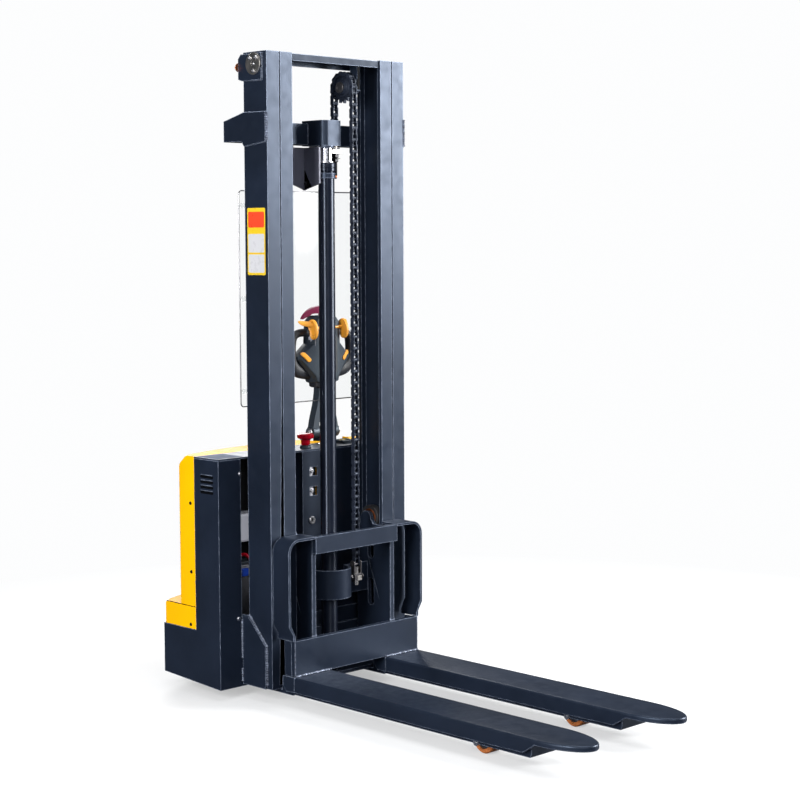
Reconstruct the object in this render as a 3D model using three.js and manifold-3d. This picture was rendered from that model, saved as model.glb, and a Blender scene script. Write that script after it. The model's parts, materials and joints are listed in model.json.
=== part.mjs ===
// Walkie stacker: a pedestrian-controlled lift truck with a two-stage mast.
// Millimetres, +Z up, floor at z = 0, forks pointing along -Y, operator side +Y.
// Inside each group the mast's front flange plane is y = 0 until the whole truck is centred at the end.
import * as THREE from "three";
import { mergeVertices } from "three/addons/utils/BufferGeometryUtils.js";
import Module from "manifold-3d";

const wasm = await Module();
wasm.setup();

// ---- driving dimensions ----
const MAST_HEIGHT = 2080;
const MAST_HALF_WIDTH = 300;
const MAST_DEPTH = 112;
const FLANGE = 14;
const OUTER_WEB = 12;
const OUTER_FLANGE_INNER = 248.5; // half-gap between the outer channels' flange tips
const OUTER_FOOT = 45; // underside of the outer mast
const INNER_OUTSIDE = 243.5;
const INNER_INSIDE = 194;
const INNER_WEB = [214, 224];
const INNER_BOTTOM = 66;
const INNER_FOOT_TIE = [126, 190]; // the oil hose passes under it
const MAST_MID_Y = MAST_DEPTH / 2;
const CROSSHEAD = [1800, 1868]; // height band of the tie beams near the mast top
const TOP_TIE = { front: 2056, rear: 2050, web: 2072, top: 2078, wall: 8 }; // a channel, open side down
const HANGER_TOP = TOP_TIE.web + 1;
// outline of the chain wheel's hanger plate
const HANGER = [
  [10, HANGER_TOP],
  [46, HANGER_TOP],
  [46, 2014],
  [72, 1998],
  [72, 1974],
  [60, 1964],
  [24, 1964],
  [10, 1978],
];

const ROLLER_R = 41.5;
const AXLE_R = 14;
const RUNNING_GAP = 0.08;
const HEAD_ROLLER_Z = 2026; // fixed rollers at the top of the outer mast
const FOOT_ROLLER_Z = 190; // rollers at the bottom of the inner mast
const ROUND = 24; // sides of a round piece

const CARRIAGE_FRONT = -84;
const CARRIAGE_PLATE = 20;
const UPPER_PLATE = { halfWidth: 182.5, low: 484, high: 539 };
const LOWER_PLATE = { halfWidth: 274.5, low: 99, high: 213 };
const SIDE_PLATE = [169, 183];
const UPPER_ROLLER_Z = 548;
const LOWER_ROLLER_Z = 172;

const FORK_TOP = 98;
const FORK_BOTTOM = 48;
const FORK_INNER = 123.5;
const FORK_OUTER = 282;
const FORK_TIP_Y = -1257;
const FORK_TAPER_Y = -1085;
const FORK_SKIN = 8;
const TIP_THICKNESS = 18;
const FORK_MID_X = (FORK_INNER + FORK_OUTER) / 2;

const LEG = { halfWidth: 62, low: 36, high: 84, end: -1070, wall: 8 };
const LOAD_WHEEL = { r: 40, width: 62, y: -862, axle: 8 };

const CYLINDER_R = 27;
const CYLINDER_BORE = 22.5;
const CYLINDER_TOP = 1712;
const PORT = { x: 42, z: 118 }; // oil inlet near the foot of the cylinder
const ROD_R = 20;
const ROD_TOP = 1796;

const CHAIN_X = 80;
const CHAIN_PITCH = 19.05;
const SPROCKET_TEETH = 15;
const SPROCKET_R = CHAIN_PITCH / 2 / Math.sin(Math.PI / SPROCKET_TEETH);
const SPROCKET_Z = 1987;
const CHAIN_WIDTH = 24;
const CHAIN_HEIGHT = 17;
const CHAIN_FIXED_Z = 1800;
const CHAIN_CARRIAGE_Z = 398;

const BODY_HALF_WIDTH = 400;
const BODY_FRONT_Y = 140;
const BODY_TOP = 790;
const BODY_SPLIT_Y = 265; // where the dark front shell meets the hood
const BODY_SIDE_Y = 437; // rear end of the flat sides
const BODY_REAR_Y = 530; // middle of the bowed rear wall
const HOOD_SIDE_Y = 354;
const HOOD_REAR_Y = 430;
const HOOD_CHAMFER = { run: 38, rise: 31 };
const WELL_R = 92; // recess in the hood round the steering column
const BASE_TOP = 218;
const SKIRT_TOP = 293;
const SHEET = 6;

const STEER_X = 252; // the drive unit and the tiller stand to the right of the middle
const STEER_Y = 360;
const DRIVE_WHEEL = { r: 100, width: 68 };
const TILLER_PIVOT_Z = 815;
const CASTER_R = 62;

const HOSE_DOWN = { x: 98, y: 196 }; // where the oil hose passes the base plate
const HOSE_R = 7;
const HOSE_HOLE_R = 13;
const HOSE_OUT = { x: 88, z: 106 }; // where it leaves the body towards the cylinder's foot
const STOP_X = 6;
const STOP_Y = 176;
const KEY_X = 120;
const KEY_Y = 215;

const COLOURS = {
  frame: 0x1c2028,
  hood: 0xf2b400,
  steel: 0xb9bcc0,
  black: 0x101114,
  red: 0xc3141c,
  rubber: 0x17181a,
  tyre: 0x9a4a22,
  clear: 0xdfe8ee,
  grey: 0x8d9196,
  label: 0xd8dadc,
};

// ---- solids ----
// A closed three.js geometry as a manifold solid.
function solid(geometry) {
  const plain = geometry.clone();
  plain.deleteAttribute("normal");
  plain.deleteAttribute("uv");
  const merged = mergeVertices(plain, 1e-3);
  return new wasm.Manifold(
    new wasm.Mesh({
      numProp: 3,
      vertProperties: merged.attributes.position.array,
      triVerts: new Uint32Array(merged.index.array),
    }),
  );
}

function box(x, y, z) {
  const geometry = new THREE.BoxGeometry(x[1] - x[0], y[1] - y[0], z[1] - z[0]);
  geometry.translate((x[0] + x[1]) / 2, (y[0] + y[1]) / 2, (z[0] + z[1]) / 2);
  return solid(geometry);
}

// The same box on the left and the right, given the right one.
function boxes(x, y, z) {
  return [box(x, y, z), box([-x[1], -x[0]], y, z)];
}

function cylinder(axis, r, from, to, at, sides = ROUND) {
  const geometry = new THREE.CylinderGeometry(r, r, to - from, sides);
  const middle = (from + to) / 2;
  if (axis === "x") geometry.rotateZ(-Math.PI / 2).translate(middle, at[0], at[1]);
  if (axis === "y") geometry.translate(at[0], middle, at[1]);
  if (axis === "z") geometry.rotateX(Math.PI / 2).translate(at[0], at[1], middle);
  return solid(geometry);
}

function tube(axis, outer, inner, from, to, at) {
  return cylinder(axis, outer, from, to, at).subtract(cylinder(axis, inner, from - 1, to + 1, at));
}

// An outline in one plane, extruded along the third axis from one place to another.
const PLANE_AXES = {
  yz: [new THREE.Vector3(0, 1, 0), new THREE.Vector3(0, 0, 1), new THREE.Vector3(1, 0, 0)],
  xz: [new THREE.Vector3(1, 0, 0), new THREE.Vector3(0, 0, 1), new THREE.Vector3(0, -1, 0)],
  xy: [new THREE.Vector3(1, 0, 0), new THREE.Vector3(0, 1, 0), new THREE.Vector3(0, 0, 1)],
};

function prism(plane, outline, from, to) {
  const points = (outline) => outline.map(([u, v]) => new THREE.Vector2(u, v));
  const shape = outline instanceof THREE.Shape ? outline : new THREE.Shape(points(outline));
  const options = { depth: to - from, bevelEnabled: false, curveSegments: 8 };
  const geometry = new THREE.ExtrudeGeometry(shape, options);
  geometry.applyMatrix4(new THREE.Matrix4().makeBasis(...PLANE_AXES[plane]));
  const start = plane === "xz" ? to : from;
  const shift = { yz: [start, 0, 0], xz: [0, start, 0], xy: [0, 0, start] }[plane];
  geometry.translate(...shift);
  return solid(geometry);
}

// A solid between two level outlines that have the same number of points.
function loft(lower, upper, from, to) {
  const count = lower.length;
  const ring = (outline, z) => outline.flatMap(([x, y]) => [x, y, z]);
  const cap = THREE.ShapeUtils.triangulateShape(lower.map(([x, y]) => new THREE.Vector2(x, y)), []);
  const faces = cap.flatMap(([a, b, c]) => [c, b, a, a + count, b + count, c + count]);
  for (let i = 0; i < count; i++) {
    const next = (i + 1) % count;
    faces.push(i, next, next + count, i, next + count, i + count);
  }
  const geometry = new THREE.BufferGeometry();
  const places = [...ring(lower, from), ...ring(upper, to)];
  geometry.setAttribute("position", new THREE.Float32BufferAttribute(places, 3));
  geometry.setIndex(faces);
  return solid(geometry);
}

function join(...parts) {
  return parts.flat().reduce((all, part) => all.add(part));
}

function cut(body, ...tools) {
  return tools.flat().reduce((left, tool) => left.subtract(tool), body);
}

// A bore that a shaft of radius r turns in: its flats stay clear of the shaft.
function boreRadius(r) {
  return r / Math.cos(Math.PI / ROUND) + RUNNING_GAP;
}

function finish(colour, roughness = 0.5, metalness = 0) {
  return new THREE.MeshStandardMaterial({ color: colour, roughness, metalness });
}

const PAINT = finish(COLOURS.frame, 0.42);
const YELLOW = finish(COLOURS.hood, 0.45);
const STEEL = finish(COLOURS.steel, 0.3, 1);
const BLACK = finish(COLOURS.black, 0.5);
const RED = finish(COLOURS.red, 0.35);
const RUBBER = finish(COLOURS.rubber, 0.8);
const TYRE = finish(COLOURS.tyre, 0.6);
const CLEAR = finish(COLOURS.clear, 0.05);
const GREY = finish(COLOURS.grey, 0.6);
const LABEL = finish(COLOURS.label, 0.5);

function piece(group, name, body, material) {
  const { numProp, numVert, vertProperties, triVerts } = body.getMesh();
  const positions = new Float32Array(numVert * 3);
  for (let i = 0; i < numVert; i++) {
    positions.set(vertProperties.subarray(i * numProp, i * numProp + 3), i * 3);
  }
  const geometry = new THREE.BufferGeometry();
  geometry.setAttribute("position", new THREE.BufferAttribute(positions, 3));
  geometry.setIndex(new THREE.BufferAttribute(triVerts, 1));
  geometry.computeVertexNormals();
  const mesh = new THREE.Mesh(geometry, material);
  mesh.name = name;
  group.add(mesh);
  return mesh;
}

function group(parent, x = 0, y = 0, z = 0) {
  const made = new THREE.Group();
  made.position.set(x, y, z);
  parent.add(made);
  return made;
}

// ---- outer mast ----
function outerChannels() {
  const tall = [OUTER_FOOT, MAST_HEIGHT];
  const flange = [OUTER_FLANGE_INNER, MAST_HALF_WIDTH];
  return [
    boxes([MAST_HALF_WIDTH - OUTER_WEB, MAST_HALF_WIDTH], [0, MAST_DEPTH], tall),
    boxes(flange, [0, FLANGE], tall),
    boxes(flange, [MAST_DEPTH - FLANGE, MAST_DEPTH], tall),
  ].flat();
}

// Ear plates on both sides carry the rear tie beam.
function upperTie() {
  const ear = [
    [3, 1797],
    [3, 1891],
    [108, 1893],
    [126, 1888],
    [207, 1868],
    [207, 1802],
    [118, 1802],
    [108, 1786],
  ];
  const out = MAST_HALF_WIDTH + SHEET;
  return [
    prism("yz", ear, MAST_HALF_WIDTH - 1, out),
    prism("yz", ear, -out, 1 - MAST_HALF_WIDTH),
    box([-MAST_HALF_WIDTH, MAST_HALF_WIDTH], [172, 207], [CROSSHEAD[0] + 2, CROSSHEAD[1]]),
  ];
}

// Bearing plates at the mast head, and the stub axles of the two fixed rollers.
function mastHead() {
  const plate = [
    [20, 1990],
    [20, 2074],
    [118, 2074],
    [131, 2060],
    [131, 1996],
    [112, 1990],
  ];
  const out = MAST_HALF_WIDTH + SHEET;
  return [
    prism("yz", plate, MAST_HALF_WIDTH - 1, out),
    prism("yz", plate, -out, 1 - MAST_HALF_WIDTH),
    cylinder("x", AXLE_R, 228, MAST_HALF_WIDTH - 1, [MAST_MID_Y, HEAD_ROLLER_Z]),
    cylinder("x", AXLE_R, 1 - MAST_HALF_WIDTH, -228, [MAST_MID_Y, HEAD_ROLLER_Z]),
  ];
}

// A hole for the oil hose in an upright plate.
function hoseHole(from, to) {
  return cylinder("y", HOSE_HOLE_R, from, to, [HOSE_OUT.x, HOSE_OUT.z], 16);
}

function mastFoot() {
  const gusset = [
    [25, OUTER_FOOT],
    [25, 185],
    [112, 275],
    [138, 275],
    [138, OUTER_FOOT],
  ];
  const out = MAST_HALF_WIDTH + FORK_SKIN;
  return [
    box([-MAST_HALF_WIDTH, MAST_HALF_WIDTH], [0, 138], [OUTER_FOOT, OUTER_FOOT + 12]),
    cut(box([-MAST_HALF_WIDTH, MAST_HALF_WIDTH], [127, 138], [OUTER_FOOT, 240]), hoseHole(126, 139)),
    prism("yz", gusset, MAST_HALF_WIDTH - 1, out),
    prism("yz", gusset, -out, 1 - MAST_HALF_WIDTH),
    boxes([MAST_HALF_WIDTH - OUTER_WEB, MAST_HALF_WIDTH], [MAST_DEPTH - 1, 138], [OUTER_FOOT, 240]),
  ].flat();
}

function outerMast(parent) {
  piece(parent, "outer_mast", join(outerChannels(), upperTie(), mastHead(), mastFoot()), PAINT);
  for (const [side, sign] of [["left", -1], ["right", 1]]) {
    const inner = MAST_HALF_WIDTH + SHEET;
    const cap = cylinder("x", 35, inner, inner + 7, [52, 2041]);
    piece(parent, `roller_cap_${side}`, cap, STEEL).scale.x = sign;
  }
}

// ---- inner mast ----
function innerChannels() {
  const tall = [INNER_BOTTOM, MAST_HEIGHT];
  const flange = [INNER_INSIDE, INNER_OUTSIDE];
  return [
    boxes(INNER_WEB, [0, MAST_DEPTH], tall),
    boxes(flange, [0, FLANGE], tall),
    boxes(flange, [MAST_DEPTH - FLANGE, MAST_DEPTH], tall),
  ].flat();
}

// The block that the lift rod pushes, in plan: a plate bent round the rod's head.
function crossheadBlock() {
  const outline = new THREE.Shape();
  outline.moveTo(45, 34);
  outline.lineTo(-8, 34);
  outline.absarc(-8, 56, 22, -Math.PI / 2, -Math.PI, true);
  outline.lineTo(-30, 140);
  outline.lineTo(45, 140);
  return prism("xy", outline, ROD_TOP, 1878);
}

function topTie() {
  const { front, rear, web, top, wall } = TOP_TIE;
  const across = [-INNER_WEB[0] - 1, INNER_WEB[0] + 1];
  const depth = [6, MAST_DEPTH - 4];
  return [
    box(across, depth, [web, top]),
    box(across, [depth[0], depth[0] + wall], [front, top]),
    box(across, [depth[1] - wall, depth[1]], [rear, top]),
  ];
}

function innerMast(parent) {
  const reach = [-INNER_OUTSIDE, INNER_OUTSIDE];
  const parts = [
    innerChannels(),
    topTie(),
    box(reach, [MAST_DEPTH - 1, 165], CROSSHEAD),
    box(reach, [MAST_DEPTH - 1, 124], INNER_FOOT_TIE),
    crossheadBlock(),
    // hanger plate and stub axle of the chain wheel
    prism("yz", HANGER, CHAIN_X + 19, CHAIN_X + 29),
    cylinder("x", AXLE_R, CHAIN_X - 18, CHAIN_X + 20, [MAST_MID_Y, SPROCKET_Z]),
    [1, -1].map((s) => {
      const ends = [s * (INNER_WEB[1] - 1), s * 284].sort((a, b) => a - b);
      return cylinder("x", AXLE_R, ...ends, [MAST_MID_Y, FOOT_ROLLER_Z]);
    }),
  ];
  piece(parent, "inner_mast", join(...parts.flat()), PAINT);
}

// ---- lift cylinder ----
function liftCylinder(parent, rodParent) {
  const at = [0, MAST_MID_Y];
  const foot = OUTER_FOOT + 12;
  const barrel = cut(
    join(
      cylinder("z", CYLINDER_R, foot, CYLINDER_TOP, at),
      cylinder("z", 36, foot, foot + 20, at),
      cylinder("x", 10, 20, PORT.x, [MAST_MID_Y, PORT.z], 16),
    ),
    cylinder("z", CYLINDER_BORE, foot + 26, CYLINDER_TOP + 1, at),
  );
  piece(parent, "lift_cylinder", barrel, BLACK);
  const gland = tube("z", 30.5, boreRadius(ROD_R), CYLINDER_TOP, CYLINDER_TOP + 28, at);
  piece(parent, "cylinder_gland", gland, BLACK);
  const rod = join(
    cylinder("z", ROD_R, 90, ROD_TOP, at),
    cylinder("z", CYLINDER_BORE - 0.3, 88, 118, at),
  );
  piece(rodParent, "lift_rod", rod, STEEL);

  const plate = [
    [-100, 1790],
    [-33, 1790],
    [-33, 1651],
    [-100, 1674],
  ];
  const rib = [
    [46, 1790],
    [126, 1790],
    [126, 1651],
    [46, 1672],
  ];
  const bracket = join(
    prism("xz", plate, 118, 126),
    prism("yz", rib, -41, -33),
    box([-34, -CYLINDER_R], [MAST_MID_Y + 6, MAST_MID_Y + 22], [1694, 1704]),
    box([-100, -33], [118, 207], [1782, 1790]),
    box([-100, -33], [180, 207], [1786, 1801.7]),
  );
  piece(parent, "cylinder_bracket", bracket, PAINT);
}

// ---- chain ----
function sprocket(parent) {
  const rim = SPROCKET_R - CHAIN_HEIGHT / 2 - 0.4;
  const wheel = join(
    cylinder("x", rim, -CHAIN_WIDTH / 2 + 4, CHAIN_WIDTH / 2 - 4, [0, 0], 30),
    cylinder("x", 22, -CHAIN_WIDTH / 2 - 4, CHAIN_WIDTH / 2 + 4, [0, 0]),
  );
  const bore = cylinder("x", boreRadius(AXLE_R), -CHAIN_WIDTH, CHAIN_WIDTH, [0, 0]);
  const mesh = piece(parent, "chain_wheel", cut(wheel, bore), STEEL);
  mesh.position.set(CHAIN_X, MAST_MID_Y, SPROCKET_Z);
}

function chainStrand(parent, name, y, low, high) {
  const width = [CHAIN_X - CHAIN_WIDTH / 2, CHAIN_X + CHAIN_WIDTH / 2];
  piece(parent, name, box(width, [y - CHAIN_HEIGHT / 2, y + CHAIN_HEIGHT / 2], [low, high]), STEEL);
}

function chain(fixed, moving) {
  const front = MAST_MID_Y - SPROCKET_R;
  const rear = MAST_MID_Y + SPROCKET_R;
  chainStrand(moving, "chain_front", front, CHAIN_CARRIAGE_Z, SPROCKET_Z - 0.3);
  chainStrand(fixed, "chain_rear", rear, CHAIN_FIXED_Z, SPROCKET_Z - 0.3);
  const arc = new THREE.Shape();
  const outer = SPROCKET_R + CHAIN_HEIGHT / 2;
  arc.absarc(0, 0, outer, 0, Math.PI, false);
  arc.absarc(0, 0, SPROCKET_R - CHAIN_HEIGHT / 2, Math.PI, 0, true);
  const wrap = prism("yz", arc, -CHAIN_WIDTH / 2, CHAIN_WIDTH / 2);
  piece(moving, "chain_wrap", wrap, STEEL).position.set(CHAIN_X, MAST_MID_Y, SPROCKET_Z);

  const anchor = join(
    cylinder("z", 9, 1762, CHAIN_FIXED_Z, [CHAIN_X, rear], 16),
    box([CHAIN_X - 20, CHAIN_X + 20], [rear - 12, 207], [1774, 1786]),
    box([CHAIN_X - 20, CHAIN_X + 20], [180, 207], [1780, 1801.7]),
  );
  piece(fixed, "chain_anchor_fixed", anchor, STEEL);
}

// ---- carriage ----
function sidePlate(x) {
  const outline = new THREE.Shape();
  outline.moveTo(CARRIAGE_FRONT + CARRIAGE_PLATE - 1, 125);
  outline.lineTo(92, 125);
  outline.lineTo(98, 150);
  outline.lineTo(98, 500);
  outline.lineTo(84, 530);
  outline.absarc(MAST_MID_Y, UPPER_ROLLER_Z, 24, 0, Math.PI, false);
  outline.lineTo(20, 530);
  outline.lineTo(CARRIAGE_FRONT + CARRIAGE_PLATE - 1, 530);
  for (const [low, high] of [[252, 345], [412, 505]]) {
    const slot = new THREE.Path();
    slot.absarc(31, low + 14, 14, Math.PI, 2 * Math.PI, false);
    slot.absarc(31, high - 14, 14, 0, Math.PI, false);
    outline.holes.push(slot);
  }
  return prism("yz", outline, ...x);
}

// A band bent round the front of the cylinder ties the side plates together.
function cylinderYoke() {
  const band = new THREE.Shape();
  band.absarc(0, MAST_MID_Y, 74, Math.PI, 2 * Math.PI, false);
  band.absarc(0, MAST_MID_Y, 66, 2 * Math.PI, Math.PI, true);
  const wings = boxes([68, SIDE_PLATE[0] + 1], [MAST_MID_Y - 8, MAST_MID_Y], [303, 400]);
  return [prism("xy", band, 303, 400), wings].flat();
}

function carriage(parent) {
  const front = [CARRIAGE_FRONT, CARRIAGE_FRONT + CARRIAGE_PLATE];
  const half = UPPER_PLATE.halfWidth;
  const low = LOWER_PLATE.halfWidth;
  const axles = [UPPER_ROLLER_Z, LOWER_ROLLER_Z].flatMap((z) => [
    cylinder("x", AXLE_R, SIDE_PLATE[1] - 1, 211, [MAST_MID_Y, z]),
    cylinder("x", AXLE_R, -211, 1 - SIDE_PLATE[1], [MAST_MID_Y, z]),
  ]);
  const body = join(
    box([-half, half], front, [UPPER_PLATE.low, UPPER_PLATE.high]),
    box([-low, low], front, [LOWER_PLATE.low, LOWER_PLATE.high]),
    sidePlate(SIDE_PLATE),
    sidePlate([-SIDE_PLATE[1], -SIDE_PLATE[0]]),
    cylinderYoke(),
    axles,
  );
  piece(parent, "carriage_frame", body, PAINT);

  const y = MAST_MID_Y - SPROCKET_R;
  const anchor = join(
    box([CHAIN_X - 3.5, CHAIN_X + 16], [y - 12, MAST_MID_Y - 8.2], [352, 368]),
    cylinder("z", 9, 336, CHAIN_CARRIAGE_Z - 0.3, [CHAIN_X, y], 16),
  );
  piece(parent, "chain_anchor_carriage", anchor, STEEL);
}

// A flat bar bent into a hand guard beside the load backrest.
function sideGuard(parent, name, sign) {
  const start = UPPER_PLATE.halfWidth + 0.3;
  const outer = MAST_HALF_WIDTH;
  const bend = 46;
  const thick = 8;
  const path = (inset) => [
    [outer - inset, 262 + inset * 0.4],
    [LOWER_PLATE.halfWidth + 6.8 - inset, 232 - inset * 0.4],
    [LOWER_PLATE.halfWidth + 6.8 - inset, LOWER_PLATE.high + 0.3],
  ];
  const top = 541;
  const outline = new THREE.Shape();
  outline.moveTo(start, top);
  outline.lineTo(outer - bend, top);
  outline.absarc(outer - bend, top - bend, bend, Math.PI / 2, 0, true);
  path(0).forEach(([x, z]) => outline.lineTo(x, z));
  path(thick)
    .reverse()
    .forEach(([x, z]) => outline.lineTo(x, z));
  outline.absarc(outer - bend, top - bend, bend - thick, 0, Math.PI / 2, false);
  outline.lineTo(start, top - thick);
  piece(parent, name, prism("xz", outline, CARRIAGE_FRONT, -8), PAINT).scale.x = sign;
}

function forkPlan() {
  const half = (FORK_OUTER - FORK_INNER) / 2;
  const outline = new THREE.Shape();
  outline.moveTo(half, CARRIAGE_FRONT - 0.3);
  outline.lineTo(-half, CARRIAGE_FRONT - 0.3);
  outline.lineTo(-half, FORK_TAPER_Y);
  outline.absellipse(0, FORK_TAPER_Y, half, FORK_TAPER_Y - FORK_TIP_Y, Math.PI, 2 * Math.PI, false, 0);
  return outline;
}

function fork(parent, name, x) {
  const half = (FORK_OUTER - FORK_INNER) / 2;
  const plan = forkPlan();
  const deck = prism("xy", plan, FORK_TOP - FORK_SKIN, FORK_TOP);
  const nose = prism("xy", plan, FORK_TOP - TIP_THICKNESS, FORK_TOP).subtract(
    box([-half, half], [FORK_TAPER_Y, 0], [0, FORK_TOP - FORK_SKIN]),
  );
  const skirt = [
    [FORK_TAPER_Y - 20, FORK_TOP - TIP_THICKNESS],
    [FORK_TAPER_Y, FORK_BOTTOM + 6],
    [FORK_TAPER_Y + 30, FORK_BOTTOM],
    [-84.3, FORK_BOTTOM],
    [-84.3, FORK_TOP - 1],
    [FORK_TAPER_Y - 20, FORK_TOP - 1],
  ];
  const heel = [
    [-85, FORK_BOTTOM],
    [-46, FORK_BOTTOM],
    [-30, 66],
    [-30, FORK_TOP],
    [-85, FORK_TOP],
  ];
  const walls = [[half - 6, half], [-half, 6 - half]];
  const body = join(
    deck,
    nose,
    walls.map((w) => prism("yz", skirt, ...w)),
    walls.map((w) => prism("yz", heel, ...w)),
  );
  piece(parent, name, body, PAINT).position.x = x;
}

// ---- rollers ----
function roller(parent, name, x, z, width) {
  const ring = tube("x", ROLLER_R, boreRadius(AXLE_R), -width / 2, width / 2, [0, 0]);
  piece(parent, name, ring, STEEL).position.set(x, MAST_MID_Y, z);
}

function rollers(parent) {
  for (const [side, sign] of [["left", -1], ["right", 1]]) {
    roller(parent, `carriage_roller_upper_${side}`, sign * 198.5, UPPER_ROLLER_Z, 23);
    roller(parent, `carriage_roller_lower_${side}`, sign * 198.5, LOWER_ROLLER_Z, 23);
    roller(parent, `inner_mast_roller_${side}`, sign * 268, FOOT_ROLLER_Z, 28);
    roller(parent, `mast_head_roller_${side}`, sign * 246, HEAD_ROLLER_Z, 28);
  }
}

// ---- support legs ----
function supportLeg(parent, side, x) {
  const { halfWidth, low, high, end, wall } = LEG;
  const profile = [
    [end, low],
    [end - 6, low + 12],
    [end - 6, high],
    [-8, high],
    [-8, OUTER_FOOT - 0.3],
    [134, OUTER_FOOT - 0.3],
    [134, low - 4],
    [-60, low - 4],
    [-64, low],
  ];
  const inside = halfWidth - wall;
  const { r, width, y, axle } = LOAD_WHEEL;
  const gap = width / 2 + 3;
  const body = join(
    cut(
      prism("yz", profile, -halfWidth, halfWidth),
      box([-inside, inside], [end + wall, -66], [0, high - wall]),
      box([-gap, gap], [y - r - 6, y + r + 6], [0, high + 1]),
    ),
    cylinder("x", axle, -inside - 1, inside + 1, [y, r], 24),
  );
  piece(parent, `support_leg_${side}`, body, PAINT).position.x = x;

  const bore = axle / Math.cos(Math.PI / ROUND) + RUNNING_GAP;
  const wheel = tube("x", r, bore, -width / 2, width / 2, [0, 0]);
  piece(parent, `load_wheel_${side}`, wheel, TYRE).position.set(x, y, r);
}

// ---- body ----
// A bowed wall through (halfWidth, sideY) and (0, rearY), as half of a plan outline.
function bow(halfWidth, sideY, rearY) {
  const rise = rearY - sideY;
  const radius = (halfWidth * halfWidth + rise * rise) / (2 * rise);
  const half = Math.asin(halfWidth / radius);
  const points = [];
  const steps = 8;
  for (let i = 0; i <= steps; i++) {
    const angle = half - (2 * half * i) / steps;
    points.push([radius * Math.sin(angle), rearY - radius + radius * Math.cos(angle)]);
  }
  return points;
}

function plan(halfWidth, frontY, sideY, rearY) {
  return [[-halfWidth, frontY], [halfWidth, frontY], ...bow(halfWidth, sideY, rearY)];
}

function chassis(parent) {
  const wide = BODY_HALF_WIDTH;
  const inside = wide - SHEET;
  const top = BODY_TOP - SHEET;
  const side = [
    [BODY_FRONT_Y, 36],
    [BODY_FRONT_Y, top],
    [BODY_SPLIT_Y, top],
    [BODY_SPLIT_Y, BASE_TOP],
    [BODY_SIDE_Y, BASE_TOP],
    [BODY_SIDE_Y, 53],
  ];
  const frontWall = [BODY_FRONT_Y, BODY_FRONT_Y + SHEET];
  const shell = plan(wide, 200, BODY_SIDE_Y, BODY_REAR_Y);
  const hollow = plan(inside, 190, BODY_SIDE_Y - SHEET / 2, BODY_REAR_Y - SHEET);
  const rearWall = prism("xy", shell, 53, BASE_TOP).subtract(prism("xy", hollow, 0, BASE_TOP + 1));
  const deckPlan = plan(wide - 2, BODY_FRONT_Y + 1, BODY_SIDE_Y, BODY_REAR_Y - 2);
  const deckPlate = cut(
    prism("xy", deckPlan, BASE_TOP - 8, BASE_TOP),
    cylinder("z", 56.5, 0, BASE_TOP + 1, [STEER_X, STEER_Y]),
    cylinder("z", 16, 0, BASE_TOP + 1, [-STEER_X, STEER_Y]),
    cylinder("z", HOSE_HOLE_R, 0, BASE_TOP + 1, [HOSE_DOWN.x, HOSE_DOWN.y], 16),
  );
  const screwHoles = [715, 648].map((z) => box([-8, 26], [BODY_FRONT_Y - 1, 150], [z - 15, z + 15]));
  const body = join(
    prism("yz", side, inside, wide),
    prism("yz", side, -wide, -inside),
    rearWall,
    deckPlate,
    box([-inside - 1, -314], frontWall, [36, top]),
    box([-314, -308.3], [BODY_FRONT_Y, 190], [36, top]),
    cut(box([-40, inside + 1], frontWall, [36, top]), screwHoles, hoseHole(139, 147)),
    box([-40, -34], [BODY_FRONT_Y, 190], [36, top]),
    box([-314, -34], frontWall, [36, 240]),
  );
  piece(parent, "chassis_frame", body, PAINT);
}

// The hood's outer volume, or the same volume a wall's thickness further in.
function hoodVolume(inset, from) {
  const front = inset ? BODY_SPLIT_Y - 50 : BODY_SPLIT_Y + 0.5;
  const half = BODY_HALF_WIDTH - inset;
  const lower = plan(half, front, HOOD_SIDE_Y - inset, HOOD_REAR_Y - inset);
  const upper = plan(half, front, HOOD_SIDE_Y - HOOD_CHAMFER.run - inset, HOOD_REAR_Y - HOOD_CHAMFER.run - inset);
  const bend = BODY_TOP - HOOD_CHAMFER.rise - inset / 2;
  return join(prism("xy", lower, from, bend), loft(lower, upper, bend, BODY_TOP - inset));
}

function covers(parent) {
  const wide = BODY_HALF_WIDTH;
  const deck = box([-wide, wide], [BODY_FRONT_Y, BODY_SPLIT_Y - 0.5], [BODY_TOP - SHEET, BODY_TOP]);
  const stopHole = cylinder("z", 14.5, 700, 800, [STOP_X, STOP_Y]);
  const keyHole = cylinder("z", 12.5, 700, 800, [KEY_X, KEY_Y]);
  piece(parent, "top_deck", cut(deck, stopHole, keyHole), PAINT);

  const wall = 4;
  const low = BASE_TOP + 0.5;
  const skirt = cut(
    prism("xy", plan(wide, BODY_SPLIT_Y + 0.5, BODY_SIDE_Y, BODY_REAR_Y), low, SKIRT_TOP),
    prism("xy", plan(wide - wall, 200, BODY_SIDE_Y - 2, BODY_REAR_Y - wall), 0, SKIRT_TOP - wall),
    prism("xy", plan(wide - 20, 200, HOOD_SIDE_Y - 20, HOOD_REAR_Y - 20), 0, SKIRT_TOP + 1),
    cylinder("z", 86, 0, 400, [STEER_X, STEER_Y]),
  );
  piece(parent, "skirt_cover", skirt, YELLOW);

  const well = cylinder("z", WELL_R, 0, 900, [STEER_X, STEER_Y]);
  const outside = hoodVolume(0, SKIRT_TOP + 0.5);
  const wellWall = cylinder("z", WELL_R + wall, SKIRT_TOP + 0.5, BODY_TOP, [STEER_X, STEER_Y]).intersect(outside);
  const wayOut = box([STEER_X - WELL_R, STEER_X + WELL_R], [STEER_Y, 600], [0, 900]);
  const hood = cut(outside.subtract(hoodVolume(wall, 0)).add(wellWall), well, wayOut);
  piece(parent, "hood", hood, YELLOW);
}

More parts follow.
